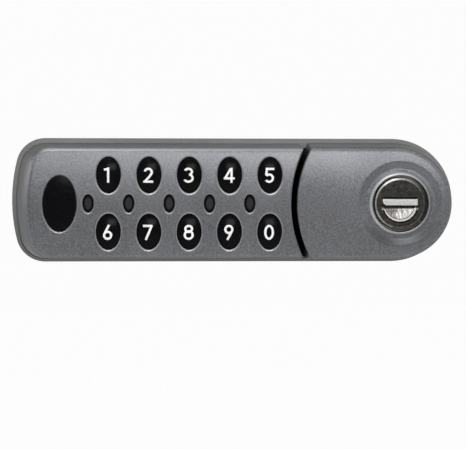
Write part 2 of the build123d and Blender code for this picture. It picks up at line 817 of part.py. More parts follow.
def build_handle_screw(x, z):
    """Screw that fixes the housing's flange to the handle's hub."""
    low_h = base_top_h + washer_thickness + seat_gap
    screw = disc(handle_screw_head, low_h, low_h + small_head_height, x, z)
    return screw + disc(handle_screw_radius, low_h, hub_foot_h + handle_screw_bite, x, z)


def build_handle_washer():
    """Slippery washer between the housing's flange and the deck."""
    face = Circle(hub_radius - washer_inset) - Circle(shank_radius + running_gap)
    return slab(face, base_top_h, base_top_h + washer_thickness)


def wafer_heights():
    """Foot of each wafer, from the front of the plug backwards."""
    first_h = plug_face_h - slot_depth - wafer_start
    return [first_h - wafer_thickness - wafer_pitch * i for i in range(wafer_count)]


def shutter_axis():
    """Height and Z of the shutter's pin, near the top of the slot."""
    h = plug_face_h - shutter_set_back - shutter_thickness / 2
    return h, slot_top - shutter_side_gap - shutter_thickness / 2


def build_key_plug():
    """Plug that the override key turns: face with slot and scoop, wafer slots, and a long tail."""
    rim_h = plug_face_h - plug_edge_depth
    plug = disc(plug_head_radius, plug_shoulder_h, rim_h)
    bevel_foot = out_plane(rim_h) * Circle(plug_head_radius)
    bevel_top = out_plane(plug_face_h) * Circle(plug_head_radius - plug_edge)
    plug += loft([bevel_foot, bevel_top], ruled=True)
    plug += disc(plug_radius, plug_body_h, plug_shoulder_h)
    plug += disc(tail_radius, -barrel_length, plug_body_h)
    plug += slab(keyed_face(tail_radius, cam_flat), cam_h - cam_thickness + running_gap, -barrel_length)
    pocket_h = plug_face_h - slot_depth
    plug -= block(-slot_half_width, slot_half_width, -slot_bottom, slot_top, pocket_h, plug_face_h + overrun)
    last_h = wafer_heights()[-1] - wafer_start / 2
    blade = block(-blade_half_width, blade_half_width, -blade_half_tall, blade_half_tall, last_h, plug_face_h)
    plug -= blade
    scoop = side_prism(
        [
            (plug_face_h + overrun, -slot_bottom),
            (plug_face_h - scoop_deep, -slot_bottom),
            (plug_face_h - scoop_shallow, -scoop_centre - scoop_radius),
            (plug_face_h + overrun, -scoop_centre - scoop_radius),
        ],
        scoop_radius,
    )
    plug -= scoop & disc(scoop_radius, plug_shoulder_h, plug_face_h + overrun * 2, z=-scoop_centre)
    for low_h in wafer_heights():
        tall = wafer_half_tall + running_gap / 2
        slit_h = low_h - running_gap / 2
        high_h = low_h + wafer_thickness + running_gap / 2
        plug -= block(-plug_radius, plug_radius, -tall, tall, slit_h, high_h)
    pin_h, pin_z = shutter_axis()
    pin_end = slot_half_width + shutter_pin_bite + seat_gap
    plug -= rod(shutter_pin_radius + seat_gap, -pin_end, pin_end, pin_h, pin_z)
    plug -= disc(cam_bolt_radius, cam_h - cam_thickness - overrun, cam_h + cam_bolt_depth)
    return plug


def build_wafer(low_h):
    """Sprung wafer across the keyway."""
    outer = Rectangle(wafer_half_width * 2, wafer_half_tall * 2) & Circle(plug_radius - running_gap / 2)
    window = Rectangle(blade_half_width * 2, blade_half_tall * 2)
    return slab(outer - window, low_h, low_h + wafer_thickness)


def build_plug_shutter():
    """Bright flap that closes the slot, hung on a pin along its top edge."""
    pin_h, pin_z = shutter_axis()
    wide = slot_half_width - shutter_side_gap
    half = shutter_thickness / 2
    low_z = slot_top - shutter_side_gap - shutter_height
    flap = block(-wide, wide, low_z, pin_z, pin_h - half, pin_h + half)
    flap += rod(half, -wide, wide, pin_h, pin_z)
    return flap - rod(shutter_pin_radius + seat_gap, -wide - overrun, wide + overrun, pin_h, pin_z)


def build_shutter_pin():
    """Pin of the shutter, held in the plug at both ends."""
    pin_h, pin_z = shutter_axis()
    end = slot_half_width + shutter_pin_bite
    return rod(shutter_pin_radius, -end, end, pin_h, pin_z)


def build_cam():
    """Flat lever on the plug's tail that reaches behind the cabinet's frame."""
    edges = Circle(cam_hub_radius).edges() + (Pos(-cam_reach, 0) * Circle(cam_tip_radius)).edges()
    face = make_hull(edges) - keyed_face(tail_radius + seat_gap, cam_flat + seat_gap)
    return slab(face, cam_h - cam_thickness, cam_h)


def build_cam_washer():
    """Washer under the cam bolt's head."""
    face = Circle(cam_washer_radius) - Circle(cam_bolt_radius + seat_gap)
    return slab(face, cam_h - cam_thickness - cam_washer_thickness, cam_h - cam_thickness)


def build_cam_bolt():
    """Socket screw up the plug's tail."""
    seat_h = cam_h - cam_thickness - cam_washer_thickness
    bolt = disc(cam_bolt_head, seat_h - cam_bolt_head_height, seat_h)
    bolt += disc(cam_bolt_radius, seat_h, cam_h + cam_bolt_depth - running_gap)
    socket = RegularPolygon(cam_bolt_socket, 6)
    return bolt - slab(socket, seat_h - cam_bolt_head_height - overrun, seat_h - cam_bolt_head_height / 2)


def build_battery_holder():
    """Open tray for two cells side by side."""
    wide = cell_row + cell_radius + cell_play
    high_h = floor_h + holder_height
    outer = block(-holder_left, -holder_right, -wide - holder_wall, wide + holder_wall, floor_h, high_h)
    inner_left, inner_right = holder_wall - holder_left, -holder_right - holder_wall
    inner = block(inner_left, inner_right, -wide, wide, floor_h + holder_floor, high_h + overrun)
    rib = cell_row - cell_radius - cell_play
    divider_left = -cell_left + spring_length
    divider_right = -holder_right - holder_wall - spring_length
    divider = block(divider_left, divider_right, -rib, rib, floor_h, high_h)
    return outer - inner + divider


def build_cells():
    """Two cells that face opposite ways."""
    cells = []
    for z, flip in ((cell_row, 1), (-cell_row, -1)):
        body_left = -cell_left
        if flip < 0:
            body_left = -holder_right - holder_wall - contact_thickness - spring_length - cell_body_length
        body_right = body_left + cell_body_length
        cell = rod(cell_radius, body_left, body_right, cell_h, z)
        nub = rod(cell_nub_radius, body_right, body_right + cell_nub_length, cell_h, z)
        if flip < 0:
            nub = rod(cell_nub_radius, body_left - cell_nub_length, body_left, cell_h, z)
        cells.append(cell + nub)
    return cells


def build_contacts():
    """Contact plates at the ends of the holder: one bridge on the left, two plates on the right."""
    low_h, high_h = floor_h + holder_floor, floor_h + holder_height
    left = holder_wall - holder_left
    right = -holder_right - holder_wall
    reach = cell_row + contact_width / 2
    inner = cell_row - contact_width / 2
    bridge = block(left, left + contact_thickness, -reach, reach, low_h, high_h)
    upper = block(right - contact_thickness, right, inner, reach, low_h, high_h)
    lower = block(right - contact_thickness, right, -reach, -inner, low_h, high_h)
    return [bridge, upper, lower]


def build_battery_spring(x, direction, z):
    """Conical contact spring, drawn as a thin-walled cone."""
    rings = []
    for thinner in (0, spring_wire):
        foot = Plane(origin=(x, -cell_h, z), z_dir=(direction, 0, 0)) * Circle(spring_radius - thinner)
        tip_x = x + direction * spring_length
        tip = Plane(origin=(tip_x, -cell_h, z), z_dir=(direction, 0, 0)) * Circle(spring_tip_radius - thinner)
        rings.append(loft([foot, tip], ruled=True))
    return rings[0] - rings[1]


def build_motor():
    """Flat-sided gear motor lying on the base plate's floor."""
    low_z, high_z = motor_row - motor_width / 2, motor_row + motor_width / 2
    motor = block(-motor_front - motor_length, -motor_front, low_z, high_z, floor_h, floor_h + motor_height)
    return motor + rod(motor_neck_radius, -motor_front, motor_neck_length - motor_front, motor_h, motor_row)


def build_motor_clamp():
    """Strap over the motor, screwed down at one side."""
    left, right = -clamp_x - clamp_width / 2, clamp_width / 2 - clamp_x
    low_z, high_z = motor_row - motor_width / 2, motor_row + motor_width / 2
    top_h = floor_h + motor_height
    strap = block(left, right, low_z, high_z, top_h, top_h + clamp_thickness)
    strap += block(left, right, low_z - clamp_thickness, low_z, floor_h, top_h + clamp_thickness)
    strap += block(left, right, high_z, high_z + clamp_thickness, floor_h, top_h + clamp_thickness)
    strap += block(left, right, high_z, high_z + clamp_foot, floor_h, floor_h + clamp_thickness)
    x, z = clamp_screw_place()
    return strap - disc(clamp_screw_radius + seat_gap, floor_h - overrun, floor_h + overrun, x, z)


def build_clamp_screw():
    """Screw of the motor's strap, into the base plate's floor."""
    x, z = clamp_screw_place()
    seat_h = floor_h + clamp_thickness
    screw = disc(clamp_head_radius, seat_h, seat_h + small_head_height, x, z)
    return screw + disc(clamp_screw_radius, floor_h - clamp_screw_bite, seat_h, x, z)


def build_drive_screw():
    """Screw on the motor's shaft that moves the bolt's nut."""
    left = motor_neck_length - motor_front
    return rod(drive_screw_radius, left, left + drive_screw_length, motor_h, motor_row)


def build_blocking_bolt():
    """Flat bolt in its channel, with a nut block that stands up on the drive screw."""
    bolt = slab(bolt_outline(0), disc_h, disc_top_h)
    left = -nut_left
    low_z, high_z = motor_row - nut_width / 2, motor_row + nut_width / 2
    bolt += block(left, left + nut_thickness, low_z, high_z, disc_h, motor_h + nut_rise)
    return bolt - rod(drive_screw_radius + bearing_gap, left - overrun, left + bolt_wing, motor_h, motor_row)


def save(shape, node):
    """Write one node, a solid or a group of separate solids, to its own file."""
    if isinstance(shape, list):
        shape = Compound(children=[s.solids()[0] for s in shape])
    export_step(shape, "parts/" + node + ".step")


def main():
    os.makedirs("parts", exist_ok=True)
    save(build_rear_gasket(), "rear_gasket")
    save(build_base_plate(), "base_plate")
    save(build_rear_plate(), "rear_plate")
    save([build_plate_screw(x, z) for x, z in plate_screw_places()], "plate_screws")
    save([build_cover_screw(x, z) for x, z in cover_screw_places()], "cover_screws")
    save(build_locking_disc(), "locking_disc")
    save(build_spindle_nut(), "spindle_nut")
    save(build_handle_washer(), "handle_washer")
    save(build_handle(), "handle")
    save(build_cylinder_housing(), "cylinder_housing")
    save([build_handle_screw(x, z) for x, z in handle_screw_places()], "handle_screws")
    save(build_key_plug(), "key_plug")
    save([build_wafer(h) for h in wafer_heights()], "lock_wafers")
    save(build_plug_shutter(), "plug_shutter")
    save(build_shutter_pin(), "shutter_pin")
    save(build_cam(), "cam_lever")
    save(build_cam_washer(), "cam_washer")
    save(build_cam_bolt(), "cam_bolt")
    save(build_keypad_cover(), "keypad_cover")
    save(build_badge(), "badge")
    for digit, (x, z) in zip(key_digits, key_places):
        save(build_key(x, z), "key_cap_" + digit)
    save(build_membrane(), "keypad_membrane")
    save([build_indicator_window(x) for x in window_places], "indicator_windows")
    save(build_circuit_board(), "circuit_board")
    save([build_board_screw(x, z) for x, z in board_screw_places()], "board_screws")
    save([build_led(x) for x in window_places], "status_leds")
    save(build_chip(), "control_chip")
    save(build_buzzer(), "buzzer")
    save(build_battery_holder(), "battery_holder")
    save(build_cells(), "battery_cells")
    save(build_contacts(), "battery_contacts")
    left_foot = holder_wall + contact_thickness - holder_left
    right_foot = -holder_right - holder_wall - contact_thickness
    springs = [(left_foot, 1, cell_row), (right_foot, -1, -cell_row)]
    save([build_battery_spring(*place) for place in springs], "battery_springs")
    save(build_motor(), "lock_motor")
    save(build_motor_clamp(), "motor_clamp")
    save(build_clamp_screw(), "clamp_screw")
    save(build_drive_screw(), "drive_screw")
    save(build_blocking_bolt(), "blocking_bolt")


main()
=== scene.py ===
# %% [markdown]
# # A keypad lock for a cabinet door
# The real lock is a long grey case of painted die-cast zinc, with ten glossy black keys and a
# turning handle round a lock cylinder. The working parts arrive already modelled and in place, so
# this lesson gives them their finishes, adds the printed digits and one rim with a painted
# highlight, and lights them.
# Everything is in metres, with X along the lock, Z up and the front facing -Y.

# %% Load the modelled parts
import json
import math
import bmesh
import bpy
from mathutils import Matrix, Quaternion, Vector
from mathutils.bvhtree import BVHTree


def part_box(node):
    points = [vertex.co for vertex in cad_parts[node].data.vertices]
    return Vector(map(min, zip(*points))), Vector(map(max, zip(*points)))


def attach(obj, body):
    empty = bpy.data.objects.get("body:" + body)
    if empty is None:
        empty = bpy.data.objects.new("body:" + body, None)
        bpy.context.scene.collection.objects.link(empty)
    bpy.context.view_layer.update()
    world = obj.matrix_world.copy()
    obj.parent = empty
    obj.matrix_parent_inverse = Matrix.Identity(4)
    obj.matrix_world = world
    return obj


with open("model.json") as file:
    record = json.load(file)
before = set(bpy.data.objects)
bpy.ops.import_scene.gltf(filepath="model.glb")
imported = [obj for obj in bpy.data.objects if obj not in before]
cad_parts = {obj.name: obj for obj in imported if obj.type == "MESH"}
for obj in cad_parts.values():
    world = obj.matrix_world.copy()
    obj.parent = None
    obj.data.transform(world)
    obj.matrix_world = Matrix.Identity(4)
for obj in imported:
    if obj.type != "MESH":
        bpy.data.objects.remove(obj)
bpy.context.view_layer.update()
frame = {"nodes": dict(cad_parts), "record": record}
nodes = frame["nodes"]
mm = 0.001

# %% [markdown]
# Some places are read from the parts, so that what is added sits where they are. The handle's axis
# is the origin, the plug's face is the nearest point of the plug, and each key has its own box. The
# keys stand one pitch apart, and the small windows stand half a pitch to the left of them.

# %% Read the places that the finishes and the prints need
plug_face_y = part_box("key_plug")[0].y
case_low, case_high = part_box("keypad_cover")
badge_x = sum(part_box("badge"), Vector()).x / 2
key_digits = "1234567890"
key_boxes = {digit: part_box("key_cap_" + digit) for digit in key_digits}
key_pitch = (key_boxes["2"][0] - key_boxes["1"][0]).x
first_key = sum(key_boxes["1"], Vector()) / 2
first_window_x = first_key.x - key_pitch / 2
print("plug face at", plug_face_y, "case front at", case_low.y, "badge at", badge_x)
print("first key at", tuple(first_key), "then every", key_pitch)

# %% [markdown]
# ## Finishes
# A paint or a plating is one shader with a small tree of nodes in front of it. What is the same all
# over a part is set as a number on the shader itself, and only what changes from place to place
# gets a node. So the first helpers start a finish, add a node with its settings by name, and join
# nodes.


# %% Start a finish and join its nodes
def shader_of(finish):
    """The shader of a finish."""
    return finish.node_tree.nodes["Principled BSDF"]


def start_finish(name, colour, metallic, roughness, **sockets):
    """A new finish with its plain values on the shader."""
    finish = bpy.data.materials.new(name)
    finish.use_nodes = True
    shader = shader_of(finish)
    shader.inputs["Base Color"].default_value = (*colour, 1)
    shader.inputs["Metallic"].default_value = metallic
    shader.inputs["Roughness"].default_value = roughness
    for socket, value in sockets.items():
        shader.inputs[socket.replace("_", " ")].default_value = value
    return finish


def add_node(finish, kind, **values):
    """A node of the given kind, with settings or inputs given by name."""
    node = finish.node_tree.nodes.new(kind)
    for name, value in values.items():
        if hasattr(node, name):
            setattr(node, name, value)
        else:
            node.inputs[name.replace("_", " ")].default_value = value
    return node


def link(finish, source, target):
    """Join an output to a socket."""
    finish.node_tree.links.new(source, target)


def feed(finish, value, socket):
    """Set a socket to a number, or join an output to it."""
    if isinstance(value, (int, float)):
        socket.default_value = value
    else:
        link(finish, value, socket)


def set_from(finish, socket, output):
    """Let an output drive one socket of the shader."""
    link(finish, output, shader_of(finish).inputs[socket])


print("finishes before this lesson adds its own", len(bpy.data.materials))

# %% [markdown]
# No real surface is one flat colour. A noise pattern makes the grain, and it is read from Object
# coordinates, so that it stays on the part whatever moves. The size of a pattern is given as the
# width of one grain, because that is what can be measured on the real thing. Noise keeps close to
# its middle, so the colours and numbers that follow it run over that middle part only.

# %% Noise, and the colours and numbers that follow it
number_span = (0.3, 0.7)
colour_span = (0.35, 0.65)


def noise_on(finish, grain, detail=2.0, stretch=(1, 1, 1)):
    """Noise from Object coordinates, with grains about that wide in metres."""
    place = add_node(finish, "ShaderNodeTexCoord")
    turn = add_node(finish, "ShaderNodeMapping")
    turn.inputs["Scale"].default_value = stretch
    noise = add_node(finish, "ShaderNodeTexNoise", Scale=1 / grain, Detail=detail)
    link(finish, place.outputs["Object"], turn.inputs["Vector"])
    link(finish, turn.outputs["Vector"], noise.inputs["Vector"])
    return noise.outputs["Fac"]


def between(finish, factor, low, high, start=number_span[0], end=number_span[1]):
    """A number that runs from low to high as factor runs from start to end."""
    node = add_node(finish, "ShaderNodeMapRange")
    for name, value in (("From Min", start), ("From Max", end), ("To Min", low), ("To Max", high)):
        node.inputs[name].default_value = value
    link(finish, factor, node.inputs["Value"])
    return node.outputs["Result"]


def colours_between(finish, factor, low, high):
    """A colour that runs from low to high as factor runs over its middle part."""
    ramp = add_node(finish, "ShaderNodeValToRGB")
    for stop, position, colour in zip(ramp.color_ramp.elements, colour_span, (low, high)):
        stop.position = position
        stop.color = (*colour, 1)
    link(finish, factor, ramp.inputs["Fac"])
    return ramp.outputs["Color"]


def blend_colours(finish, factor, first, second):
    """A mix of two colour outputs by a number or an output."""
    mix = add_node(finish, "ShaderNodeMix", data_type="RGBA")
    feed(finish, factor, mix.inputs["Factor"])
    link(finish, first, mix.inputs["A"])
    link(finish, second, mix.inputs["B"])
    return mix.outputs["Result"]


def roughen(finish, factor, height):
    """A bump of that height in metres."""
    bump = add_node(finish, "ShaderNodeBump", Distance=height)
    link(finish, factor, bump.inputs["Height"])
    set_from(finish, "Normal", bump.outputs["Normal"])


print("numbers follow noise over", number_span, "and colours over", colour_span)

# %% [markdown]
# The case and the handle are sprayed with a grey paint that holds fine metal flake, so under a lamp
# it shows a soft grain of lighter and darker specks. It could be one colour with a bump, but then
# it would look like plastic. So colour, gloss and bump all follow one fine grain, and a slow cloud
# under it keeps large faces alive. The paint is part metal: a middling metallic value lets the lamp
# above the lock brighten the upper part of the crowned front, as it does on the real one. The base
# plate is a flatter, slightly olive grey.

# %% Painted metal
cloud_grains = 40      # width of a cloud, in grains
cloud_share = 0.3


def speckled(name, low, high, grain, metallic, roughness, bump_height, **sockets):
    """A finish whose colour, gloss and surface all vary with one fine grain and one slow cloud."""
    finish = start_finish(name, high, metallic, sum(roughness) / 2, **sockets)
    fine = noise_on(finish, grain, detail=3.0)
    slow = noise_on(finish, grain * cloud_grains)
    set_from(finish, "Base Color", blend_colours(
        finish, cloud_share, colours_between(finish, fine, low, high),
        colours_between(finish, slow, low, high)))
    set_from(finish, "Roughness", between(finish, fine, *roughness))
    roughen(finish, fine, bump_height)
    return finish


dull_tint = (0.3, 0.3, 0.3, 1)
case_paint = speckled("case_paint", (0.12, 0.123, 0.13), (0.226, 0.229, 0.241), 0.6 * mm,
                      0.6, (0.3, 0.38), 0.008 * mm,
                      Specular_IOR_Level=0.05, Specular_Tint=dull_tint)
base_paint = speckled("base_paint", (0.18, 0.18, 0.177), (0.265, 0.265, 0.26), 0.5 * mm,
                      0.25, (0.42, 0.55), 0.01 * mm,
                      Specular_IOR_Level=0.1, Specular_Tint=dull_tint)
print("paints", case_paint.name, base_paint.name, "nodes", len(case_paint.node_tree.nodes))

# %% [markdown]
# ## Painted light and shade
# Highlights and shade are painted into a paint in certain places, and those places are told by
# where a point lies. A few helpers turn a place into a share: one where the painted light or shade
# is full, and nothing elsewhere. Painted pictures could do the same, but shares stay sharp at any
# size and need no file.


# %% Shares of a finish from a place
def maths(finish, operation, *values):
    """One step of arithmetic on outputs or plain numbers."""
    node = add_node(finish, "ShaderNodeMath", operation=operation)
    for socket, value in zip(node.inputs, values):
        feed(finish, value, socket)
    return node.outputs["Value"]


def all_of(finish, share, *others):
    """The product of some shares: one only where every one of them is."""
    for other in others:
        share = maths(finish, "MULTIPLY", share, other)
    return share


def any_of(finish, share, *others):
    """The largest of some shares."""
    for other in others:
        share = maths(finish, "MAXIMUM", share, other)
    return share


def coordinate(finish, axis):
    """Where a point of the part lies along X, Y or Z."""
    split = add_node(finish, "ShaderNodeSeparateXYZ")
    place = add_node(finish, "ShaderNodeTexCoord")
    link(finish, place.outputs["Object"], split.inputs["Vector"])
    return split.outputs[axis]


def less(finish, value, limit):
    """One where a value is under a limit."""
    return maths(finish, "LESS_THAN", value, limit)


def more(finish, value, limit):
    """One where a value is over a limit."""
    return maths(finish, "GREATER_THAN", value, limit)


def band(finish, value, low, high):
    """One where a value lies between two limits."""
    return all_of(finish, more(finish, value, low), less(finish, value, high))


def hill(finish, value, foot, top, far_top, far_foot):
    """A share that rises from foot to top and falls from far_top to far_foot."""
    return all_of(finish, between(finish, value, 0, 1, start=foot, end=top),
                  between(finish, value, 1, 0, start=far_top, end=far_foot))


print("the cover runs from", case_low.x, "to", case_high.x)

# %% [markdown]
# A pale line is painted round the keys, the windows and the badge as a painted highlight, where
# the edge of each opening catches the light from above, so it is brightest below them. The openings
# of a row stand one pitch apart, so X is wrapped to one pitch and one formula serves the whole row.
# The distance from the middle of an opening is measured in sizes of the opening, so that it is one
# all along the oval edge.

# %% Painted highlights round the openings
highlight_above = 0.5       # how pale the line is above an opening, where it is one below it
below_end = -0.9       # the line is palest from here down, in half heights of the opening


def from_openings(finish, first_x, row_z, half_width, half_tall):
    """How far a point is from the nearest opening of a row, and how far above its middle."""
    here = maths(finish, "WRAP", coordinate(finish, "X"), first_x + key_pitch / 2,
                 first_x - key_pitch / 2)
    across = maths(finish, "DIVIDE", maths(finish, "SUBTRACT", here, first_x), half_width)
    height = maths(finish, "SUBTRACT", coordinate(finish, "Z"), row_z)
    up = maths(finish, "DIVIDE", height, half_tall)
    squares = maths(finish, "ADD", maths(finish, "POWER", across, 2), maths(finish, "POWER", up, 2))
    return maths(finish, "POWER", squares, 0.5), up


def opening_highlights(finish, first_x, row_z, half_width, half_tall, reach, count):
    """One on the edge of each opening of a row, fading to nothing over a share of its size."""
    out, up = from_openings(finish, first_x, row_z, half_width, half_tall)
    in_row = band(finish, coordinate(finish, "X"), first_x - key_pitch / 2,
                  first_x + (count - 0.5) * key_pitch)
    return all_of(finish, between(finish, out, 1, 0, start=1, end=1 + reach),
                  between(finish, up, 1, highlight_above, start=below_end, end=0), in_row)


highlight_rows = (
    # X of the first, height of the row, half width, half height, reach, count
    (first_key.x, first_key.z, 4.25 * mm, 6.35 * mm, 0.09, 5),
    (first_key.x, -first_key.z, 4.25 * mm, 6.35 * mm, 0.09, 5),
    (first_window_x, 0, 1.85 * mm, 3.05 * mm, 0.22, 5),
    (badge_x, 0, 5.8 * mm, 9.6 * mm, 0.07, 1),
)
# painted highlight: pale lines where the openings' edges catch the light
highlight = any_of(case_paint, *[opening_highlights(case_paint, *row) for row in highlight_rows])
print("pale lines round", sum(row[-1] for row in highlight_rows), "openings")

# %% [markdown]
# The painted highlights and painted shade lie over the paint, so each is a plain colour that is
# laid over whatever colour the shader already has, as far as its share allows. Round places need
# one
# more helper: the distance from a line that points straight out of the door.


# %% Lay a colour over a finish
def distance_from(finish, x, z):
    """Distance across the front from a line through (x, z) that points out of the door."""
    place = add_node(finish, "ShaderNodeTexCoord")
    moved = add_node(finish, "ShaderNodeVectorMath", operation="SUBTRACT")
    moved.inputs[1].default_value = (x, 0, z)
    flat = add_node(finish, "ShaderNodeVectorMath", operation="MULTIPLY")
    flat.inputs[1].default_value = (1, 0, 1)
    far = add_node(finish, "ShaderNodeVectorMath", operation="LENGTH")
    link(finish, place.outputs["Object"], moved.inputs[0])
    link(finish, moved.outputs["Vector"], flat.inputs[0])
    link(finish, flat.outputs["Vector"], far.inputs[0])
    return far.outputs["Value"]


def plain(finish, colour):
    """A colour output of one value, to mix with others."""
    node = add_node(finish, "ShaderNodeRGB")
    node.outputs[0].default_value = (*colour, 1)
    return node.outputs[0]


def colour_under(finish):
    """The colour output that feeds the shader now."""
    return shader_of(finish).inputs["Base Color"].links[0].from_socket


def colour_over(finish, share, colour):
    """Lay a plain colour over a finish as far as a share allows."""
    set_from(finish, "Base Color",
             blend_colours(finish, share, colour_under(finish), plain(finish, colour)))


print("a colour laid over", case_paint.name, "covers", colour_under(case_paint).node.name)

# %% [markdown]
# The cover's top edge and the upper half of its bowed left end are painted pale as painted
# highlights, where their rounded edges catch the light. The top edge is told by its height and by
# how near the front it is. The left end is part of a large circle, so the distance from that
# circle's centre follows its bow. All the painted highlights together then take one pale colour.

# %% Painted highlights on the cover's edges
top_foot, top_full, top_share = 17.3 * mm, 18.2 * mm, 0.45
front_full, front_foot = 2.3 * mm, 2.9 * mm            # depth behind the front
bend_x, bend_radius, bend_width = -76.7 * mm, 50 * mm, 1.4 * mm
end_reach, end_share = 15 * mm, 0.5                    # from the cover's left end
end_heights = (-5 * mm, 9 * mm, 13.5 * mm, 16.5 * mm)
highlight_colour = (0.5, 0.5, 0.52)

top_edge_highlight = all_of(
    case_paint,
    between(case_paint, coordinate(case_paint, "Z"), 0, top_share, start=top_foot, end=top_full),
    less(case_paint, coordinate(case_paint, "X"), case_high.x),
    between(case_paint, coordinate(case_paint, "Y"), 1, 0, start=case_low.y + front_full,
            end=case_low.y + front_foot))
end_highlight = all_of(
    case_paint,
    hill(case_paint, distance_from(case_paint, bend_x, 0), bend_radius - bend_width, bend_radius,
         bend_radius, bend_radius + bend_width),
    hill(case_paint, coordinate(case_paint, "Z"), *end_heights),
    less(case_paint, coordinate(case_paint, "X"), case_low.x + end_reach), end_share)
# painted highlight: one pale colour for all the edges that catch the light
colour_over(case_paint, any_of(case_paint, highlight, top_edge_highlight, end_highlight), highlight_colour)
print("worn paint is", highlight_colour, "on", case_paint.name)

# %% [markdown]
# The lower half of the dish round the cylinder is painted dull and dark as painted shade, so that
# its lower slope does not shine in the light from above. The dish is round, so a ring of distances
# from the cylinder's axis says where it is, and the height says how dark the painted shade is
# there.

# %% Painted shade in the dish
dish_shade_ring = (11.2 * mm, 12.6 * mm, 13.6 * mm, 15.2 * mm)
dish_shade_full_z, dish_shade_end_z, dish_shade_share = -12.5 * mm, -5 * mm, 0.55

dish_shade = all_of(case_paint, hill(case_paint, distance_from(case_paint, 0, 0), *dish_shade_ring),
              between(case_paint, coordinate(case_paint, "Z"), dish_shade_share, 0,
                      start=dish_shade_full_z, end=dish_shade_end_z))
# painted shade over the lower slope of the dish
colour_over(case_paint, dish_shade, (0.05, 0.05, 0.052))
print("dust from", dish_shade_ring[0], "to", dish_shade_ring[-1], "round the axis")

# %% [markdown]
# The edge of the base plate is painted darker towards its lower side as painted shade, as the
# light falls from above. The curved gap between the case and the handle lies in shade, so painted
# shade lies on its floor and on both of its walls. Two circles round the gap's own centre say where
# it is, and depth behind the front says how dark its walls are. Both ends of the gap are open to
# the light, so the painted shade stops short of them.

# %% Painted shade on the base plate and in the gap
low_shade_full_z, low_shade_end_z, low_shade_share = -21 * mm, 18 * mm, 0.6
gap_centre_x, gap_inner, gap_outer = 3.4 * mm, 38.0 * mm, 41.0 * mm
gap_bottom, gap_top = -19.2 * mm, 18.2 * mm
gap_shade_foot, gap_shade_full = 1.0 * mm, 4.0 * mm          # depth behind the front
gap_floor_shade, gap_wall_shade = (0.005, 0.005, 0.005), (0.055, 0.055, 0.058)


def paint_gap_shade(finish, gap_shade, depth_share):
    """Darken a paint between the gap's two circles as painted shade, as far as a share allows."""
    inside = all_of(
        finish, band(finish, distance_from(finish, gap_centre_x, 0), gap_inner, gap_outer),
        band(finish, coordinate(finish, "Z"), gap_bottom, gap_top), depth_share)
    colour_over(finish, inside, gap_shade)


# painted shade: the base plate darkens towards its lower side
low_shade = between(base_paint, coordinate(base_paint, "Z"), low_shade_share, 0,
                   start=low_shade_full_z, end=low_shade_end_z)
colour_over(base_paint, low_shade, (0.03, 0.03, 0.032))
# painted shade: near black on the gap's floor, darker deeper on its walls
paint_gap_shade(base_paint, gap_floor_shade, 1)
paint_gap_shade(case_paint, gap_wall_shade, between(
    case_paint, coordinate(case_paint, "Y"), 0, 1, start=case_low.y + gap_shade_foot,
    end=case_low.y + gap_shade_full))
print("grease between", gap_inner, "and", gap_outer, "round", gap_centre_x)

# %% [markdown]
# ## Black gloss and white print
# Keys and badge are moulded in black with a polished skin, and the windows are smoked plastic. A
# perfect black mirror would look computed, so a slow change of gloss and the faintest orange peel
# break up their reflections. The digits' ink is white but not bright, so that it doesn't burn out.

# %% Black gloss
key_black = speckled("key_black", (0.0025, 0.0025, 0.003), (0.0045, 0.0045, 0.0052), 1.2 * mm,
                     0.0, (0.14, 0.2), 0.002 * mm, Specular_IOR_Level=0.05)
window_smoke = speckled("window_smoke", (0.016, 0.016, 0.018), (0.03, 0.03, 0.034), 0.5 * mm,
                        0.0, (0.3, 0.42), 0.002 * mm, Specular_IOR_Level=0.1)
digit_white = speckled("digit_white", (0.76, 0.76, 0.76), (0.88, 0.88, 0.88), 0.25 * mm,
                       0.0, (0.45, 0.6), 0.003 * mm)
print("gloss", key_black.name, window_smoke.name, digit_white.name)

# %% [markdown]
# Each window has a black border, painted shade that stands for the dark gap round the window. It
# has no thickness, so it is a colour and not a shape. The formula of the painted highlights round
# the openings serves again: the border lies where the distance from the middle of a window, in
# window sizes, is past a certain share.

# %% Painted shade round the windows
window_half_width, window_half_tall = 1.55 * mm, 2.75 * mm
border_start = 0.72    # share of the way from a window's middle to its edge

window_out = from_openings(window_smoke, first_window_x, 0, window_half_width, window_half_tall)[0]
# painted shade: a near-black border for the dark gap round each window
colour_over(window_smoke, more(window_smoke, window_out, border_start), (0.002, 0.002, 0.002))
print("windows every", key_pitch, "from", first_window_x)

# %% [markdown]
# ## The cylinder
# The plug's face is turned on a lathe and plated dark, and the bevel round it catches a painted
# highlight. The scoop under the slot is milled bright. Most zones of the face are told by their
# distance from the plug's axis or from the scoop's own centre, because round tools cut them.
# Near-black lines are painted shade at the edges, where the face drops away: round the plug, above
# the slot and round the scoop.

# %% Zones of the plug's face
plug_radius = 8.95 * mm
bevel_left, bevel_right = 8.15 * mm, 7.9 * mm          # radius where the bevel starts
side_left, side_right = 0.3 * mm, 0.06 * mm            # width of the black line round the plug
face_reach = 2.2 * mm                                  # the scoop is no deeper than this
slot_top, slot_half_width = 1.7 * mm, 6.0 * mm
scoop_radius, scoop_middle, scoop_top = 5.8 * mm, -0.3 * mm, -1.4 * mm
edge_line, rim_width, line_width = 0.42 * mm, 0.62 * mm, 0.25 * mm

plug_nickel = start_finish("plug_nickel", (0.07, 0.068, 0.062), 1.0, 0.3)
plug_x, plug_y, plug_z = [coordinate(plug_nickel, axis) for axis in "XYZ"]
from_axis = distance_from(plug_nickel, 0, 0)
from_scoop = distance_from(plug_nickel, 0, scoop_middle)


def across_plug(left, right):
    """A radius that changes evenly from the plug's left side to its right side."""
    return between(plug_nickel, plug_x, left, right, start=-plug_radius, end=plug_radius)
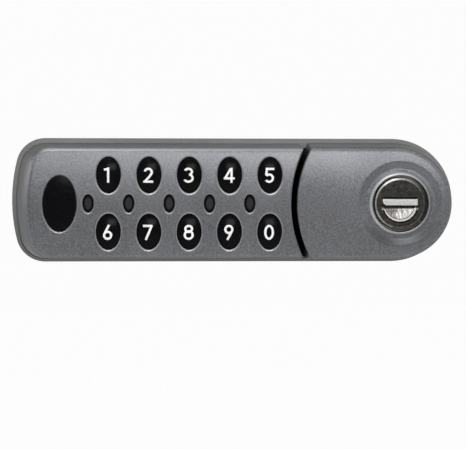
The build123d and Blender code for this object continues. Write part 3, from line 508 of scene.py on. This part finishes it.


# Painted shade: near-black lines round the plug, above the slot and round the scoop.
bevel = more(plug_nickel, from_axis, across_plug(bevel_left, bevel_right))
side_shade = more(plug_nickel, from_axis,
            across_plug(plug_radius - side_left, plug_radius - side_right))
slot_shade = all_of(plug_nickel, band(plug_nickel, plug_z, slot_top, slot_top + edge_line),
                   maths(plug_nickel, "COMPARE", plug_x, 0, slot_half_width))
under_slot = all_of(plug_nickel, less(plug_nickel, plug_z, scoop_top),
                    less(plug_nickel, plug_y, plug_face_y + face_reach))
in_scoop = all_of(plug_nickel, under_slot, less(plug_nickel, from_scoop, scoop_radius))
scoop_edge_shade = all_of(plug_nickel, under_slot, band(plug_nickel, from_scoop, scoop_radius,
                                                   scoop_radius + edge_line))
rim_line = all_of(plug_nickel, in_scoop,
                  band(plug_nickel, from_scoop, scoop_radius - rim_width - line_width,
                       scoop_radius - rim_width))
print("plug of radius", plug_radius, "with a scoop of radius", scoop_radius)

# %% [markdown]
# The dark plating of the face is patchy. The bevel is painted bright towards the upper left as a
# painted highlight, where it faces the light, and stays dark on the other side. So a share that
# turns with the direction from the axis blends a bright colour into a dark one.

# %% The plug's plating and its painted highlight
plate_patch = 1.3 * mm
lit_x, lit_z = -0.8, 0.6         # direction from the axis to where the painted highlight is brightest
bevel_light = (-0.45, 0.8)              # how well a direction agrees with it, from dark to bright


def upper_left(finish, start, end):
    """From nothing to one as the direction from the axis turns to the upper left."""
    leftward = maths(finish, "MULTIPLY", coordinate(finish, "X"), lit_x)
    upward = maths(finish, "MULTIPLY", coordinate(finish, "Z"), lit_z)
    turned_to = maths(finish, "DIVIDE", maths(finish, "ADD", leftward, upward),
                      distance_from(finish, 0, 0))
    return between(finish, turned_to, 0, 1, start=start, end=end)


patches = noise_on(plug_nickel, plate_patch, detail=3.0)
dark_plate = colours_between(plug_nickel, patches, (0.05, 0.049, 0.044), (0.1, 0.096, 0.088))
shaded_bevel = colours_between(plug_nickel, patches, (0.07, 0.072, 0.062), (0.12, 0.123, 0.105))
lit_bevel = colours_between(plug_nickel, patches, (0.42, 0.42, 0.38), (0.62, 0.62, 0.58))
# painted highlight: lit and shaded copies of the bevel, blended by direction
bevel_highlight = blend_colours(plug_nickel, upper_left(plug_nickel, *bevel_light), shaded_bevel,
                           lit_bevel)
set_from(plug_nickel, "Base Color", blend_colours(plug_nickel, bevel, dark_plate, bevel_highlight))
# painted shade round the plug and above the slot, then painted shadow round the scoop
colour_over(plug_nickel, any_of(plug_nickel, side_shade, slot_shade), (0.004, 0.004, 0.004))
colour_over(plug_nickel, scoop_edge_shade, (0.01, 0.01, 0.01))
print("plating in patches of", plate_patch)

# %% [markdown]
# The scoop has a rim painted pale as a painted highlight, a dark line inside it, and a streaked
# floor that is painted dark on the left as painted shade and bright on the right as a painted
# highlight. The flap's edge shades its upper end. At its upper corners two bright ears are painted
# glints where the edges catch the light, and the right one is longer, so it takes two dots.

# %% The scoop under the slot
shade_end, light_start = -1.9 * mm, -0.7 * mm         # X where one turns into the other
scoop_shade = -1.8 * mm                                # the flap's shade reaches down to here
streak_width, streak_stretch = 0.9 * mm, (1.6, 1, 0.4)
glints = (               # X, Z and size of each bright dot
    (-5.95 * mm, -1.8 * mm, 0.45 * mm), (5.2 * mm, -1.95 * mm, 0.4 * mm),
    (5.75 * mm, -1.7 * mm, 0.4 * mm))

# painted shade on the left of the floor and painted highlight on its right
streaks = noise_on(plug_nickel, streak_width, stretch=streak_stretch)
shaded_floor = colours_between(plug_nickel, streaks, (0.07, 0.06, 0.056), (0.3, 0.28, 0.27))
lit_floor = colours_between(plug_nickel, streaks, (0.22, 0.21, 0.205), (0.62, 0.61, 0.595))
lit_side = between(plug_nickel, plug_x, 0, 1, start=shade_end, end=light_start)
scoop_colour = blend_colours(plug_nickel, lit_side, shaded_floor, lit_floor)
# painted highlight on the rim, the dark line, then painted shade under the flap's edge
for zone, colour in (
        (more(plug_nickel, from_scoop, scoop_radius - rim_width), (0.36, 0.355, 0.34)),
        (rim_line, (0.06, 0.055, 0.05)),
        (more(plug_nickel, plug_z, scoop_shade), (0.03, 0.026, 0.024))):
    scoop_colour = blend_colours(plug_nickel, zone, scoop_colour, plain(plug_nickel, colour))
set_from(plug_nickel, "Base Color",
         blend_colours(plug_nickel, in_scoop, colour_under(plug_nickel), scoop_colour))
# painted glints at the scoop's upper corners
for glint_x, glint_z, glint_size in glints:
    glint = less(plug_nickel, distance_from(plug_nickel, glint_x, glint_z), glint_size)
    colour_over(plug_nickel, glint, (0.6, 0.595, 0.58))
print("scoop with", len(glints), "bright dots")

# %% [markdown]
# The lathe leaves fine rings about the plug's centre. They come from the distance to the axis, fed
# to a noise pattern as its only changing coordinate, and they change the gloss and the surface a
# little.

# %% Turned rings
ring_width, ring_height = 0.12 * mm, 0.004 * mm
ring_roughness = (0.24, 0.38)

turned = add_node(plug_nickel, "ShaderNodeTexNoise", noise_dimensions="1D", Scale=1 / ring_width,
                  Detail=2.0)
link(plug_nickel, from_axis, turned.inputs["W"])
set_from(plug_nickel, "Roughness", between(plug_nickel, turned.outputs["Fac"], *ring_roughness))
roughen(plug_nickel, turned.outputs["Fac"], ring_height)
print("rings every", ring_width)

# %% [markdown]
# The flap that closes the slot is blasted stainless steel. Its fine matt surface scatters the
# light, so it looks bright from every side, where a mirror would show the dark room behind the
# camera. Its lower left corner is painted near black as painted shade, where the cut-off corner
# lets the shaded slot show.

# %% Steel
corner_cut = -5.6 * mm                                 # sum of X and Z along the cut

flap_steel = speckled("flap_steel", (0.5, 0.5, 0.475), (0.62, 0.62, 0.59), 0.6 * mm,
                      0.4, (0.3, 0.42), 0.002 * mm)
corner = maths(flap_steel, "ADD", coordinate(flap_steel, "X"), coordinate(flap_steel, "Z"))
# painted shade: the slot showing through the cut-off corner
colour_over(flap_steel, less(flap_steel, corner, corner_cut), (0.01, 0.01, 0.01))
bright_steel = speckled("bright_steel", (0.72, 0.71, 0.68), (0.84, 0.83, 0.8), 0.8 * mm,
                        1.0, (0.18, 0.3), 0.002 * mm)
print("steels", flap_steel.name, bright_steel.name)

# %% [markdown]
# ## The hidden parts
# Behind the door and inside the case the parts are plated steel, brass, foam, silicone and moulded
# plastic. The front shows none of them, but each has its own colour and grain: zinc plate is
# cloudy, and foam has open pores. A table of numbers is enough for all of them.

# %% Plated metal, foam and plastic
plain_finishes = {
    # darkest and lightest colour, grain in mm, metallic, roughness, height of the bump in mm
    "zinc": ((0.46, 0.47, 0.5), (0.62, 0.62, 0.62), 1.5, 1.0, (0.3, 0.46), 0.003),
    "nickel": ((0.54, 0.52, 0.48), (0.66, 0.64, 0.6), 0.8, 1.0, (0.22, 0.36), 0.002),
    "brass": ((0.62, 0.42, 0.17), (0.74, 0.55, 0.27), 0.9, 1.0, (0.26, 0.4), 0.002),
    "foam": ((0.016, 0.016, 0.016), (0.04, 0.04, 0.04), 0.35, 0.0, (0.85, 0.95), 0.08),
    "silicone": ((0.15, 0.15, 0.16), (0.2, 0.2, 0.21), 0.8, 0.0, (0.45, 0.55), 0.004),
    "black_plastic": ((0.014, 0.014, 0.014), (0.024, 0.024, 0.024), 0.3, 0.0, (0.5, 0.62), 0.01),
    "acetal": ((0.72, 0.72, 0.69), (0.82, 0.82, 0.79), 0.9, 0.0, (0.35, 0.45), 0.003),
    "chip_epoxy": ((0.015, 0.015, 0.017), (0.027, 0.027, 0.029), 0.12, 0.0, (0.55, 0.68), 0.01),
    "led_epoxy": ((0.66, 0.62, 0.5), (0.78, 0.75, 0.64), 0.3, 0.0, (0.12, 0.2), 0.001),
    "cell_wrap": ((0.03, 0.06, 0.12), (0.05, 0.09, 0.17), 2.0, 0.5, (0.28, 0.38), 0.002),
    "motor_steel": ((0.42, 0.42, 0.42), (0.56, 0.56, 0.55), 0.6, 1.0, (0.3, 0.42), 0.003),
}
hidden = {name: speckled(name, low, high, grain * mm, metallic, roughness, bump * mm)
          for name, (low, high, grain, metallic, roughness, bump) in plain_finishes.items()}
print("hidden finishes", sorted(hidden))

# %% [markdown]
# A circuit board is green lacquer over copper, and its tracks show as slightly raised, lighter
# lines. A brick pattern makes straight lines that meet at right angles, as tracks do. It lies in
# the X-Y plane, so its coordinates are turned by a quarter to lie on the upright board.

# %% The circuit board's lacquer
track_pitch, track_width = 6 * mm, 0.03                # width as a share of the pattern
track_height = 0.03 * mm

board_green = start_finish("board_green", (0.02, 0.13, 0.05), 0.0, 0.35)
tracks = add_node(board_green, "ShaderNodeTexBrick", Scale=1 / track_pitch,
                  Mortar_Size=track_width)
board_turn = add_node(board_green, "ShaderNodeMapping")
board_turn.inputs["Rotation"].default_value = (math.radians(90), 0, 0)
board_place = add_node(board_green, "ShaderNodeTexCoord")
link(board_green, board_place.outputs["Object"], board_turn.inputs["Vector"])
link(board_green, board_turn.outputs["Vector"], tracks.inputs["Vector"])
set_from(board_green, "Base Color", colours_between(
    board_green, tracks.outputs["Fac"], (0.015, 0.11, 0.04), (0.04, 0.2, 0.08)))
roughen(board_green, tracks.outputs["Fac"], track_height)
print("tracks every", track_pitch)

# %% [markdown]
# Each modelled part comes with the name of its finish. A table from those names to the finishes
# above dresses all of them in one pass, so no part is forgotten. Only the flap has a steel of its
# own.

# %% Dress the parts
finish_of_slot = {
    "grey_paint": case_paint, "base_paint": base_paint, "black_gloss": key_black,
    "smoked_window": window_smoke, "dark_nickel": plug_nickel, "bright_steel": bright_steel,
    "zinc_plate": hidden["zinc"], "nickel_plate": hidden["nickel"],
    "wafer_brass": hidden["brass"], "gasket_foam": hidden["foam"],
    "silicone": hidden["silicone"], "black_plastic": hidden["black_plastic"],
    "white_acetal": hidden["acetal"], "chip_epoxy": hidden["chip_epoxy"],
    "led_epoxy": hidden["led_epoxy"], "cell_wrap": hidden["cell_wrap"],
    "motor_steel": hidden["motor_steel"], "board_green": board_green,
}
slot_of_node = {part["node"]: part["material_slot"] for part in frame["record"]["subparts"]}
for name, part in nodes.items():
    for material_slot in part.material_slots:
        material_slot.material = finish_of_slot[slot_of_node[name]]
for material_slot in nodes["plug_shutter"].material_slots:
    material_slot.material = flap_steel
print("dressed", len(slot_of_node), "parts in", len(finish_of_slot), "finishes")

# %% [markdown]
# ## Printed digits
# The digits are pad-printed in white on the domed keys, in a plain geometric style with one width
# of stroke. A font would bring its own shapes, so each digit is drawn as a few strokes: straight
# runs and arcs, in shares of the digit's height, with the middle of the digit at X = 0.

# %% Arcs and straight runs
digit_height = 5.1 * mm
pen_share = 0.15       # width of a stroke, as a share of the height
half_pen = pen_share / 2
arc_step = 9.0         # degrees between two points of an arc
run_step = 0.09        # between two points of a straight run, so that it follows a dome


def arc(centre_x, centre_y, radius, start, end, tall=None):
    """Points of an arc from one angle to another, in degrees; tall makes it an oval."""
    count = max(2, round(abs(end - start) / arc_step))
    turns = [math.radians(start + (end - start) * i / count) for i in range(count + 1)]
    return [(centre_x + radius * math.cos(turn), centre_y + (tall or radius) * math.sin(turn))
            for turn in turns]


def straight(*corners):
    """Points along straight runs from corner to corner."""
    points = [corners[0]]
    for (start_x, start_y), (end_x, end_y) in zip(corners, corners[1:]):
        count = max(1, round(math.dist((start_x, start_y), (end_x, end_y)) / run_step))
        points += [(start_x + (end_x - start_x) * i / count,
                    start_y + (end_y - start_y) * i / count)
                   for i in range(1, count + 1)]
    return points


print("the pen is", digit_height * pen_share, "wide")

# %% [markdown]
# Each digit takes one to three strokes. A six is a round bowl with a straight stem that just
# touches its side, and a nine is a six after half a turn, so both come from one drawing.


# %% The strokes of each digit
def six_strokes():
    """A round bowl and a straight stem that touches its left side."""
    bowl_radius, top_x = 0.2325, 0.1
    bowl_y = half_pen + bowl_radius
    away = math.dist((top_x, 1), (0, bowl_y))
    touch = math.atan2(1 - bowl_y, top_x) + math.acos(bowl_radius / away)
    meet = (bowl_radius * math.cos(touch), bowl_y + bowl_radius * math.sin(touch))
    return [arc(0, bowl_y, bowl_radius, 0, 360), straight((top_x, 1), meet)]


def turned_over(strokes):
    """The same strokes after half a turn, as a nine is a six turned over."""
    return [[(-x, 1 - y) for x, y in stroke] for stroke in strokes]


top_line = 1 - half_pen
digit_strokes = {
    "1": [straight((0.03, 0), (0.03, 1)), straight((-0.25, 0.86), (0.0, 0.9))],
    "2": [arc(0, top_line - 0.228, 0.228, 168, -45)
          + straight((0.161, 0.503), (-0.234, half_pen))[1:],
          straight((-0.33, half_pen), (0.33, half_pen))],
    "3": [arc(-0.025, top_line - 0.195, 0.235, 156, -78, tall=0.195),
          arc(-0.025, half_pen + 0.24, 0.28, 80, -156, tall=0.24)],
    "4": [straight((0.16, 0), (0.16, 1)), straight((-0.35, 0.3), (0.37, 0.3)),
          straight((-0.26, 0.31), (0.1, 0.93))],
    "5": [straight((-0.24, top_line), (0.33, top_line)), straight((-0.155, 0.97), (-0.215, 0.5)),
          arc(-0.01, half_pen + 0.24, 0.24, 142, -148)],
    "6": six_strokes(),
    "7": [straight((-0.34, top_line), (0.3, top_line)), straight((0.235, 0.94), (-0.155, 0))],
    "8": [arc(0.01, top_line - 0.195, 0.22, 0, 360, tall=0.195),
          arc(0.01, half_pen + 0.25, 0.262, 0, 360, tall=0.25)],
    "9": turned_over(six_strokes()),
    "0": [arc(0, 0.5, 0.25, 0, 360, tall=0.5 - half_pen)],
}
print("strokes per digit", {digit: len(strokes) for digit, strokes in digit_strokes.items()})

# %% [markdown]
# A flat pen is swept along each stroke, as a nib is drawn over paper: a curve takes the nib's
# outline as its bevel, which keeps the width even round every bend. The curve is then made a mesh,
# and the points that its ends share are merged.

# %% Sweep the pen along a stroke
nib_half_thick = 0.5 * mm
weld = 0.001 * mm      # points nearer than this are one


def finished_mesh(shown):
    """The mesh of an object as its curve or modifiers make it; the object itself goes."""
    bpy.context.view_layer.update()
    ready = shown.evaluated_get(bpy.context.evaluated_depsgraph_get())
    mesh = bpy.data.meshes.new_from_object(ready)
    bpy.data.objects.remove(shown)
    return mesh


def flat_stroke(points, closed):
    """A solid ribbon that is one pen wide, swept along the points in the XY plane."""
    nib = bpy.data.curves.new("nib", "CURVE")
    nib.dimensions = "2D"
    outline = nib.splines.new("POLY")
    outline.points.add(3)
    half_width = digit_height * half_pen
    for point, (x, y) in zip(outline.points, ((-1, -1), (1, -1), (1, 1), (-1, 1))):
        point.co = (x * half_width, y * nib_half_thick, 0, 1)
    outline.use_cyclic_u = True
    nib_object = bpy.data.objects.new("nib", nib)
    path = bpy.data.curves.new("stroke", "CURVE")
    path.dimensions = "3D"
    path.twist_mode = "Z_UP"
    path.bevel_mode = "OBJECT"
    path.bevel_object = nib_object
    path.use_fill_caps = True
    line = path.splines.new("POLY")
    shown = points[:-1] if closed else points
    line.points.add(len(shown) - 1)
    for point, (x, y) in zip(line.points, shown):
        point.co = (x * digit_height, y * digit_height, 0, 1)
    line.use_cyclic_u = closed
    path_object = bpy.data.objects.new("stroke", path)
    bpy.context.scene.collection.objects.link(path_object)
    mesh = finished_mesh(path_object)
    bpy.data.objects.remove(nib_object)
    shape = bmesh.new()
    shape.from_mesh(mesh)
    bmesh.ops.remove_doubles(shape, verts=shape.verts, dist=weld)
    bmesh.ops.recalc_face_normals(shape, faces=shape.faces)
    shape.to_mesh(mesh)
    shape.free()
    return mesh


print("the nib is", 2 * nib_half_thick, "thick")

# %% [markdown]
# The swept strokes of one digit overlap, so they are united into one closed solid. Where two
# strokes only lay on each other, their faces would flicker.


# %% Unite the strokes
def united(meshes, name):
    """One closed mesh from several that overlap."""
    base = bpy.data.objects.new(name, meshes[0])
    bpy.context.scene.collection.objects.link(base)
    others = []
    for mesh in meshes[1:]:
        other = bpy.data.objects.new(name + "_other", mesh)
        bpy.context.scene.collection.objects.link(other)
        union = base.modifiers.new("union", "BOOLEAN")
        union.operation = "UNION"
        union.solver = "EXACT"
        union.object = other
        others.append(other)
    mesh = finished_mesh(base)
    for other in others:
        bpy.data.objects.remove(other)
    return mesh


print("most strokes in one digit", max(len(strokes) for strokes in digit_strokes.values()))

# %% [markdown]
# The flat digit is laid on its key by looking up the dome's height in front of each of its points.
# The ink stands a little proud of the dome and reaches a little into it, so that no light passes
# under it. Shrink-wrapping would do the same, but it would also flatten the ink's thickness.

# %% Lay each digit on its key
print_thickness, print_depth = 0.03 * mm, 0.05 * mm    # above and below the dome's surface
digit_left, lower_row_drop = 0.25 * mm, 0.2 * mm       # from the key's centre
before_key = 1 * mm                                    # the look-up starts so far in front
closed_gap = 0.001                                     # ends nearer than this close a stroke


def surface_of(part):
    """A part's surface, to look up how far out it is."""
    copy = bmesh.new()
    copy.from_mesh(part.data)
    tree = BVHTree.FromBMesh(copy)
    copy.free()
    return tree


def print_digit(digit):
    """The digit as a thin print on the dome of its key."""
    strokes = [flat_stroke(points, math.dist(points[0], points[-1]) < closed_gap)
               for points in digit_strokes[digit]]
    mesh = united(strokes, "digit_" + digit)
    low, high = key_boxes[digit]
    centre = (low + high) / 2
    dome = surface_of(nodes["key_cap_" + digit])
    drop = lower_row_drop if centre.z < 0 else 0
    shape = bmesh.new()
    shape.from_mesh(mesh)
    for point in shape.verts:
        x = centre.x - digit_left + point.co.x
        z = centre.z - drop + point.co.y - digit_height / 2
        hit = dome.ray_cast(Vector((x, low.y - before_key, z)), Vector((0, 1, 0)))[0]
        out = print_thickness if point.co.z > 0 else -print_depth
        point.co = (x, hit.y - out, z)
    bmesh.ops.recalc_face_normals(shape, faces=shape.faces)
    shape.to_mesh(mesh)
    shape.free()
    made = bpy.data.objects.new("digit_" + digit, mesh)
    bpy.context.scene.collection.objects.link(made)
    mesh.materials.clear()
    mesh.materials.append(digit_white)
    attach(made, "key_" + digit)
    return made


digits = [print_digit(digit) for digit in key_digits]
print("digit faces", [len(made.data.polygons) for made in digits])

# %% [markdown]
# ## The pale rim
# A raised rim runs round the hole for the cylinder in the handle. It is turned, so a short profile
# of radius and depth is spun about the cylinder's axis; a bevel on the hole's edge would not give
# its rounded lip. Its paint is paler and smoother than the rest as a painted highlight on the lip,
# most of all towards the upper left, where it faces the light. A spin leaves its faces in no fixed
# order, so they are sorted, and the mesh is the same each time.

# %% The pale rim round the cylinder
rim_steps = 160
rim_light = (-0.6, 0.5)
rim_profile = (        # radius, and depth behind the case's front, in mm
    (9.62, 1.9), (9.62, 0.36), (9.7, 0.22), (9.84, 0.15), (9.98, 0.18), (10.1, 0.26),
    (10.45, 0.55), (10.62, 0.8), (10.9, 1.2), (11.2, 1.9))

# painted highlight: a pale paint, brighter towards the upper left, for the light on the lip
rim_highlight_paint = speckled("rim_highlight_paint", (0.44, 0.445, 0.46), (0.52, 0.525, 0.54), 0.5 * mm,
                     0.7, (0.26, 0.34), 0.002 * mm, Specular_IOR_Level=0.3)
set_from(rim_highlight_paint, "Base Color", blend_colours(
    rim_highlight_paint, upper_left(rim_highlight_paint, *rim_light), plain(rim_highlight_paint, (0.28, 0.284, 0.294)),
    colour_under(rim_highlight_paint)))


def round_then_out(face):
    """A number that grows round the axis and, within one step of the spin, outwards."""
    x, _, z = face.calc_center_median()
    return math.atan2(z, x) + math.hypot(x, z)


rim_shape = bmesh.new()
loop = [rim_shape.verts.new((radius * mm, case_low.y + depth * mm, 0))
        for radius, depth in rim_profile]
edges = [rim_shape.edges.new(pair) for pair in zip(loop, loop[1:] + loop[:1])]
bmesh.ops.spin(rim_shape, geom=loop + edges, cent=(0, 0, 0), axis=(0, 1, 0), angle=math.tau,
               steps=rim_steps, use_merge=True)
bmesh.ops.remove_doubles(rim_shape, verts=rim_shape.verts, dist=weld)
bmesh.ops.recalc_face_normals(rim_shape, faces=rim_shape.faces)
rim_shape.faces.sort(key=round_then_out)
for face in rim_shape.faces:
    face.smooth = True
rim_mesh = bpy.data.meshes.new("handle_rim")
rim_shape.to_mesh(rim_mesh)
rim_shape.free()
rim_mesh.materials.append(rim_highlight_paint)
handle_rim = bpy.data.objects.new("handle_rim", rim_mesh)
bpy.context.scene.collection.objects.link(handle_rim)
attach(handle_rim, "handle")
print("rim with", len(rim_mesh.polygons), "faces")

# %% [markdown]
# ## The picture
# The photograph is a product shot on plain white, taken almost square to the front with a long
# lens. The camera is placed by angle and distance round a point of the lock, and a small shift of
# the lens puts that point where it is in the photograph, without turning the view.

# %% Camera
picture_width, picture_height = 466, 449
aim = Vector((-58 * mm, -12 * mm, 0))
aim_pixel = (226.96, 201.7)
camera_azimuth = math.radians(-4.14)
camera_elevation = math.radians(3.07)
camera_roll = math.radians(0.25)
camera_distance = 0.76
focal_pixels = 2226.4

camera_data = bpy.data.cameras.new("camera")
camera_data.sensor_width = 36
camera_data.lens = focal_pixels / picture_width * camera_data.sensor_width
camera_data.shift_x = (picture_width / 2 - aim_pixel[0]) / picture_width
camera_data.shift_y = -(picture_height / 2 - aim_pixel[1]) / picture_width
camera_data.clip_start = 0.05
camera_data.clip_end = 20
camera = bpy.data.objects.new("camera", camera_data)
away = Vector((math.sin(camera_azimuth) * math.cos(camera_elevation),
               -math.cos(camera_azimuth) * math.cos(camera_elevation),
               math.sin(camera_elevation)))
camera.location = aim + away * camera_distance
level = (-away).to_track_quat("-Z", "Y")
camera.rotation_euler = (level @ Quaternion((0, 0, 1), camera_roll)).to_euler()
bpy.context.scene.collection.objects.link(camera)
bpy.context.scene.camera = camera
print("camera at", tuple(camera.location))

# %% [markdown]
# The lock stands in a light tent, as small shiny things do when they are photographed. Three soft
# boxes light it. One above and to the right makes the bright band along the top of the crowned
# front and the small glow near the top of each key. One hangs high at the left. A large one fills
# the front, and it is kept out of the reflections, so that the keys stay black.


# %% Lamps
def soft_box(name, place, width, height, watts):
    """A rectangular lamp that points at the middle of the case."""
    lamp = bpy.data.lights.new(name, "AREA")
    lamp.shape = "RECTANGLE"
    lamp.size, lamp.size_y, lamp.energy = width, height, watts
    box = bpy.data.objects.new(name, lamp)
    box.location = place
    box.rotation_euler = (middle - Vector(place)).to_track_quat("-Z", "Y").to_euler()
    bpy.context.scene.collection.objects.link(box)
    return box


middle = (case_low + case_high) / 2
boxes = [soft_box("high_box", (0.04, -0.85, 0.29), width=0.3, height=0.22, watts=1.7),
         soft_box("left_overhead", (-0.2, -0.45, 0.62), width=0.4, height=0.4, watts=1.6),
         soft_box("front_fill", (0.15, -1.0, 0.3), width=0.8, height=0.8, watts=2.0)]
boxes[-1].visible_glossy = False
print("lamps", [(box.name, box.data.energy) for box in boxes])

# %% [markdown]
# The floor and the backdrop are white paper. The camera sees the paper mostly as a glow, so that it
# is white and still takes a faint shadow of the lock. Reflections see a glow that fades in front of
# the lock and high above it, so that the flat front stays dark and every rounded edge shows a light
# line.

# %% Floor and backdrop
camera_glow = 0.95     # share of the paper that the camera sees as glow
paper_grey = (0.8, 0.8, 0.8)
floor_dark_y, floor_bright_y, floor_dim = -0.7, -0.12, 0.3
wall_bright_z, wall_dark_z, wall_dim = 0.2, 0.6, 0.25
floor_z, reach, back_y = -0.16, 3.0, 1.2


def stage_paper():
    """White paper that glows by itself for the camera and for reflections."""
    white = start_finish("white_stage", paper_grey, 0.0, 0.9)
    fade = all_of(white, between(white, coordinate(white, "Y"), floor_dim, 1,
                                 start=floor_dark_y, end=floor_bright_y),
                  between(white, coordinate(white, "Z"), 1, wall_dim,
                          start=wall_bright_z, end=wall_dark_z))
    seen = add_node(white, "ShaderNodeLightPath").outputs
    glow = add_node(white, "ShaderNodeEmission")
    link(white, any_of(white, fade, seen["Is Camera Ray"]), glow.inputs["Strength"])
    glowing = any_of(white, seen["Is Glossy Ray"], seen["Is Transmission Ray"],
                     all_of(white, seen["Is Camera Ray"], camera_glow))
    choose = add_node(white, "ShaderNodeMixShader")
    link(white, glowing, choose.inputs[0])
    link(white, shader_of(white).outputs[0], choose.inputs[1])
    link(white, glow.outputs[0], choose.inputs[2])
    link(white, choose.outputs[0], white.node_tree.nodes["Material Output"].inputs["Surface"])
    return white


def stage_sheet(name, corners):
    """A flat sheet of the stage's paper."""
    mesh = bpy.data.meshes.new(name)
    shape = bmesh.new()
    shape.faces.new([shape.verts.new(corner) for corner in corners])
    shape.to_mesh(mesh)
    shape.free()
    mesh.materials.append(stage_white)
    sheet = bpy.data.objects.new(name, mesh)
    bpy.context.scene.collection.objects.link(sheet)


stage_white = stage_paper()
stage_sheet("floor", [(-reach, -reach, floor_z), (reach, -reach, floor_z),
                      (reach, reach, floor_z), (-reach, reach, floor_z)])
stage_sheet("backdrop", [(-reach, back_y, floor_z), (reach, back_y, floor_z),
                         (reach, back_y, reach), (-reach, back_y, reach)])
print("floor at", floor_z, "and backdrop at", back_y)

# %% [markdown]
# The room is the light tent itself: dim straight ahead, behind the camera, and bright from the
# sides and above. The direction that a ray leaves in says how bright it is there. The camera sees
# plain white wherever it looks past the paper.

# %% The room
ahead_y, tent_y = -0.88, -0.58         # how far a direction points to the front
ahead_level, tent_level = 0.2, 0.85

world = bpy.data.worlds.new("world")
world.use_nodes = True
towards = add_node(world, "ShaderNodeSeparateXYZ")
room_place = add_node(world, "ShaderNodeTexCoord")
link(world, room_place.outputs["Generated"], towards.inputs["Vector"])
tent = between(world, towards.outputs["Y"], ahead_level, tent_level, start=ahead_y, end=tent_y)
room_seen = add_node(world, "ShaderNodeLightPath").outputs["Is Camera Ray"]
background = world.node_tree.nodes["Background"]
background.inputs["Color"].default_value = (1, 1, 1, 1)
link(world, any_of(world, tent, room_seen), background.inputs["Strength"])
bpy.context.scene.world = world
bpy.context.scene.view_settings.view_transform = "Standard"
print("the room is", ahead_level, "ahead and", tent_level, "around")
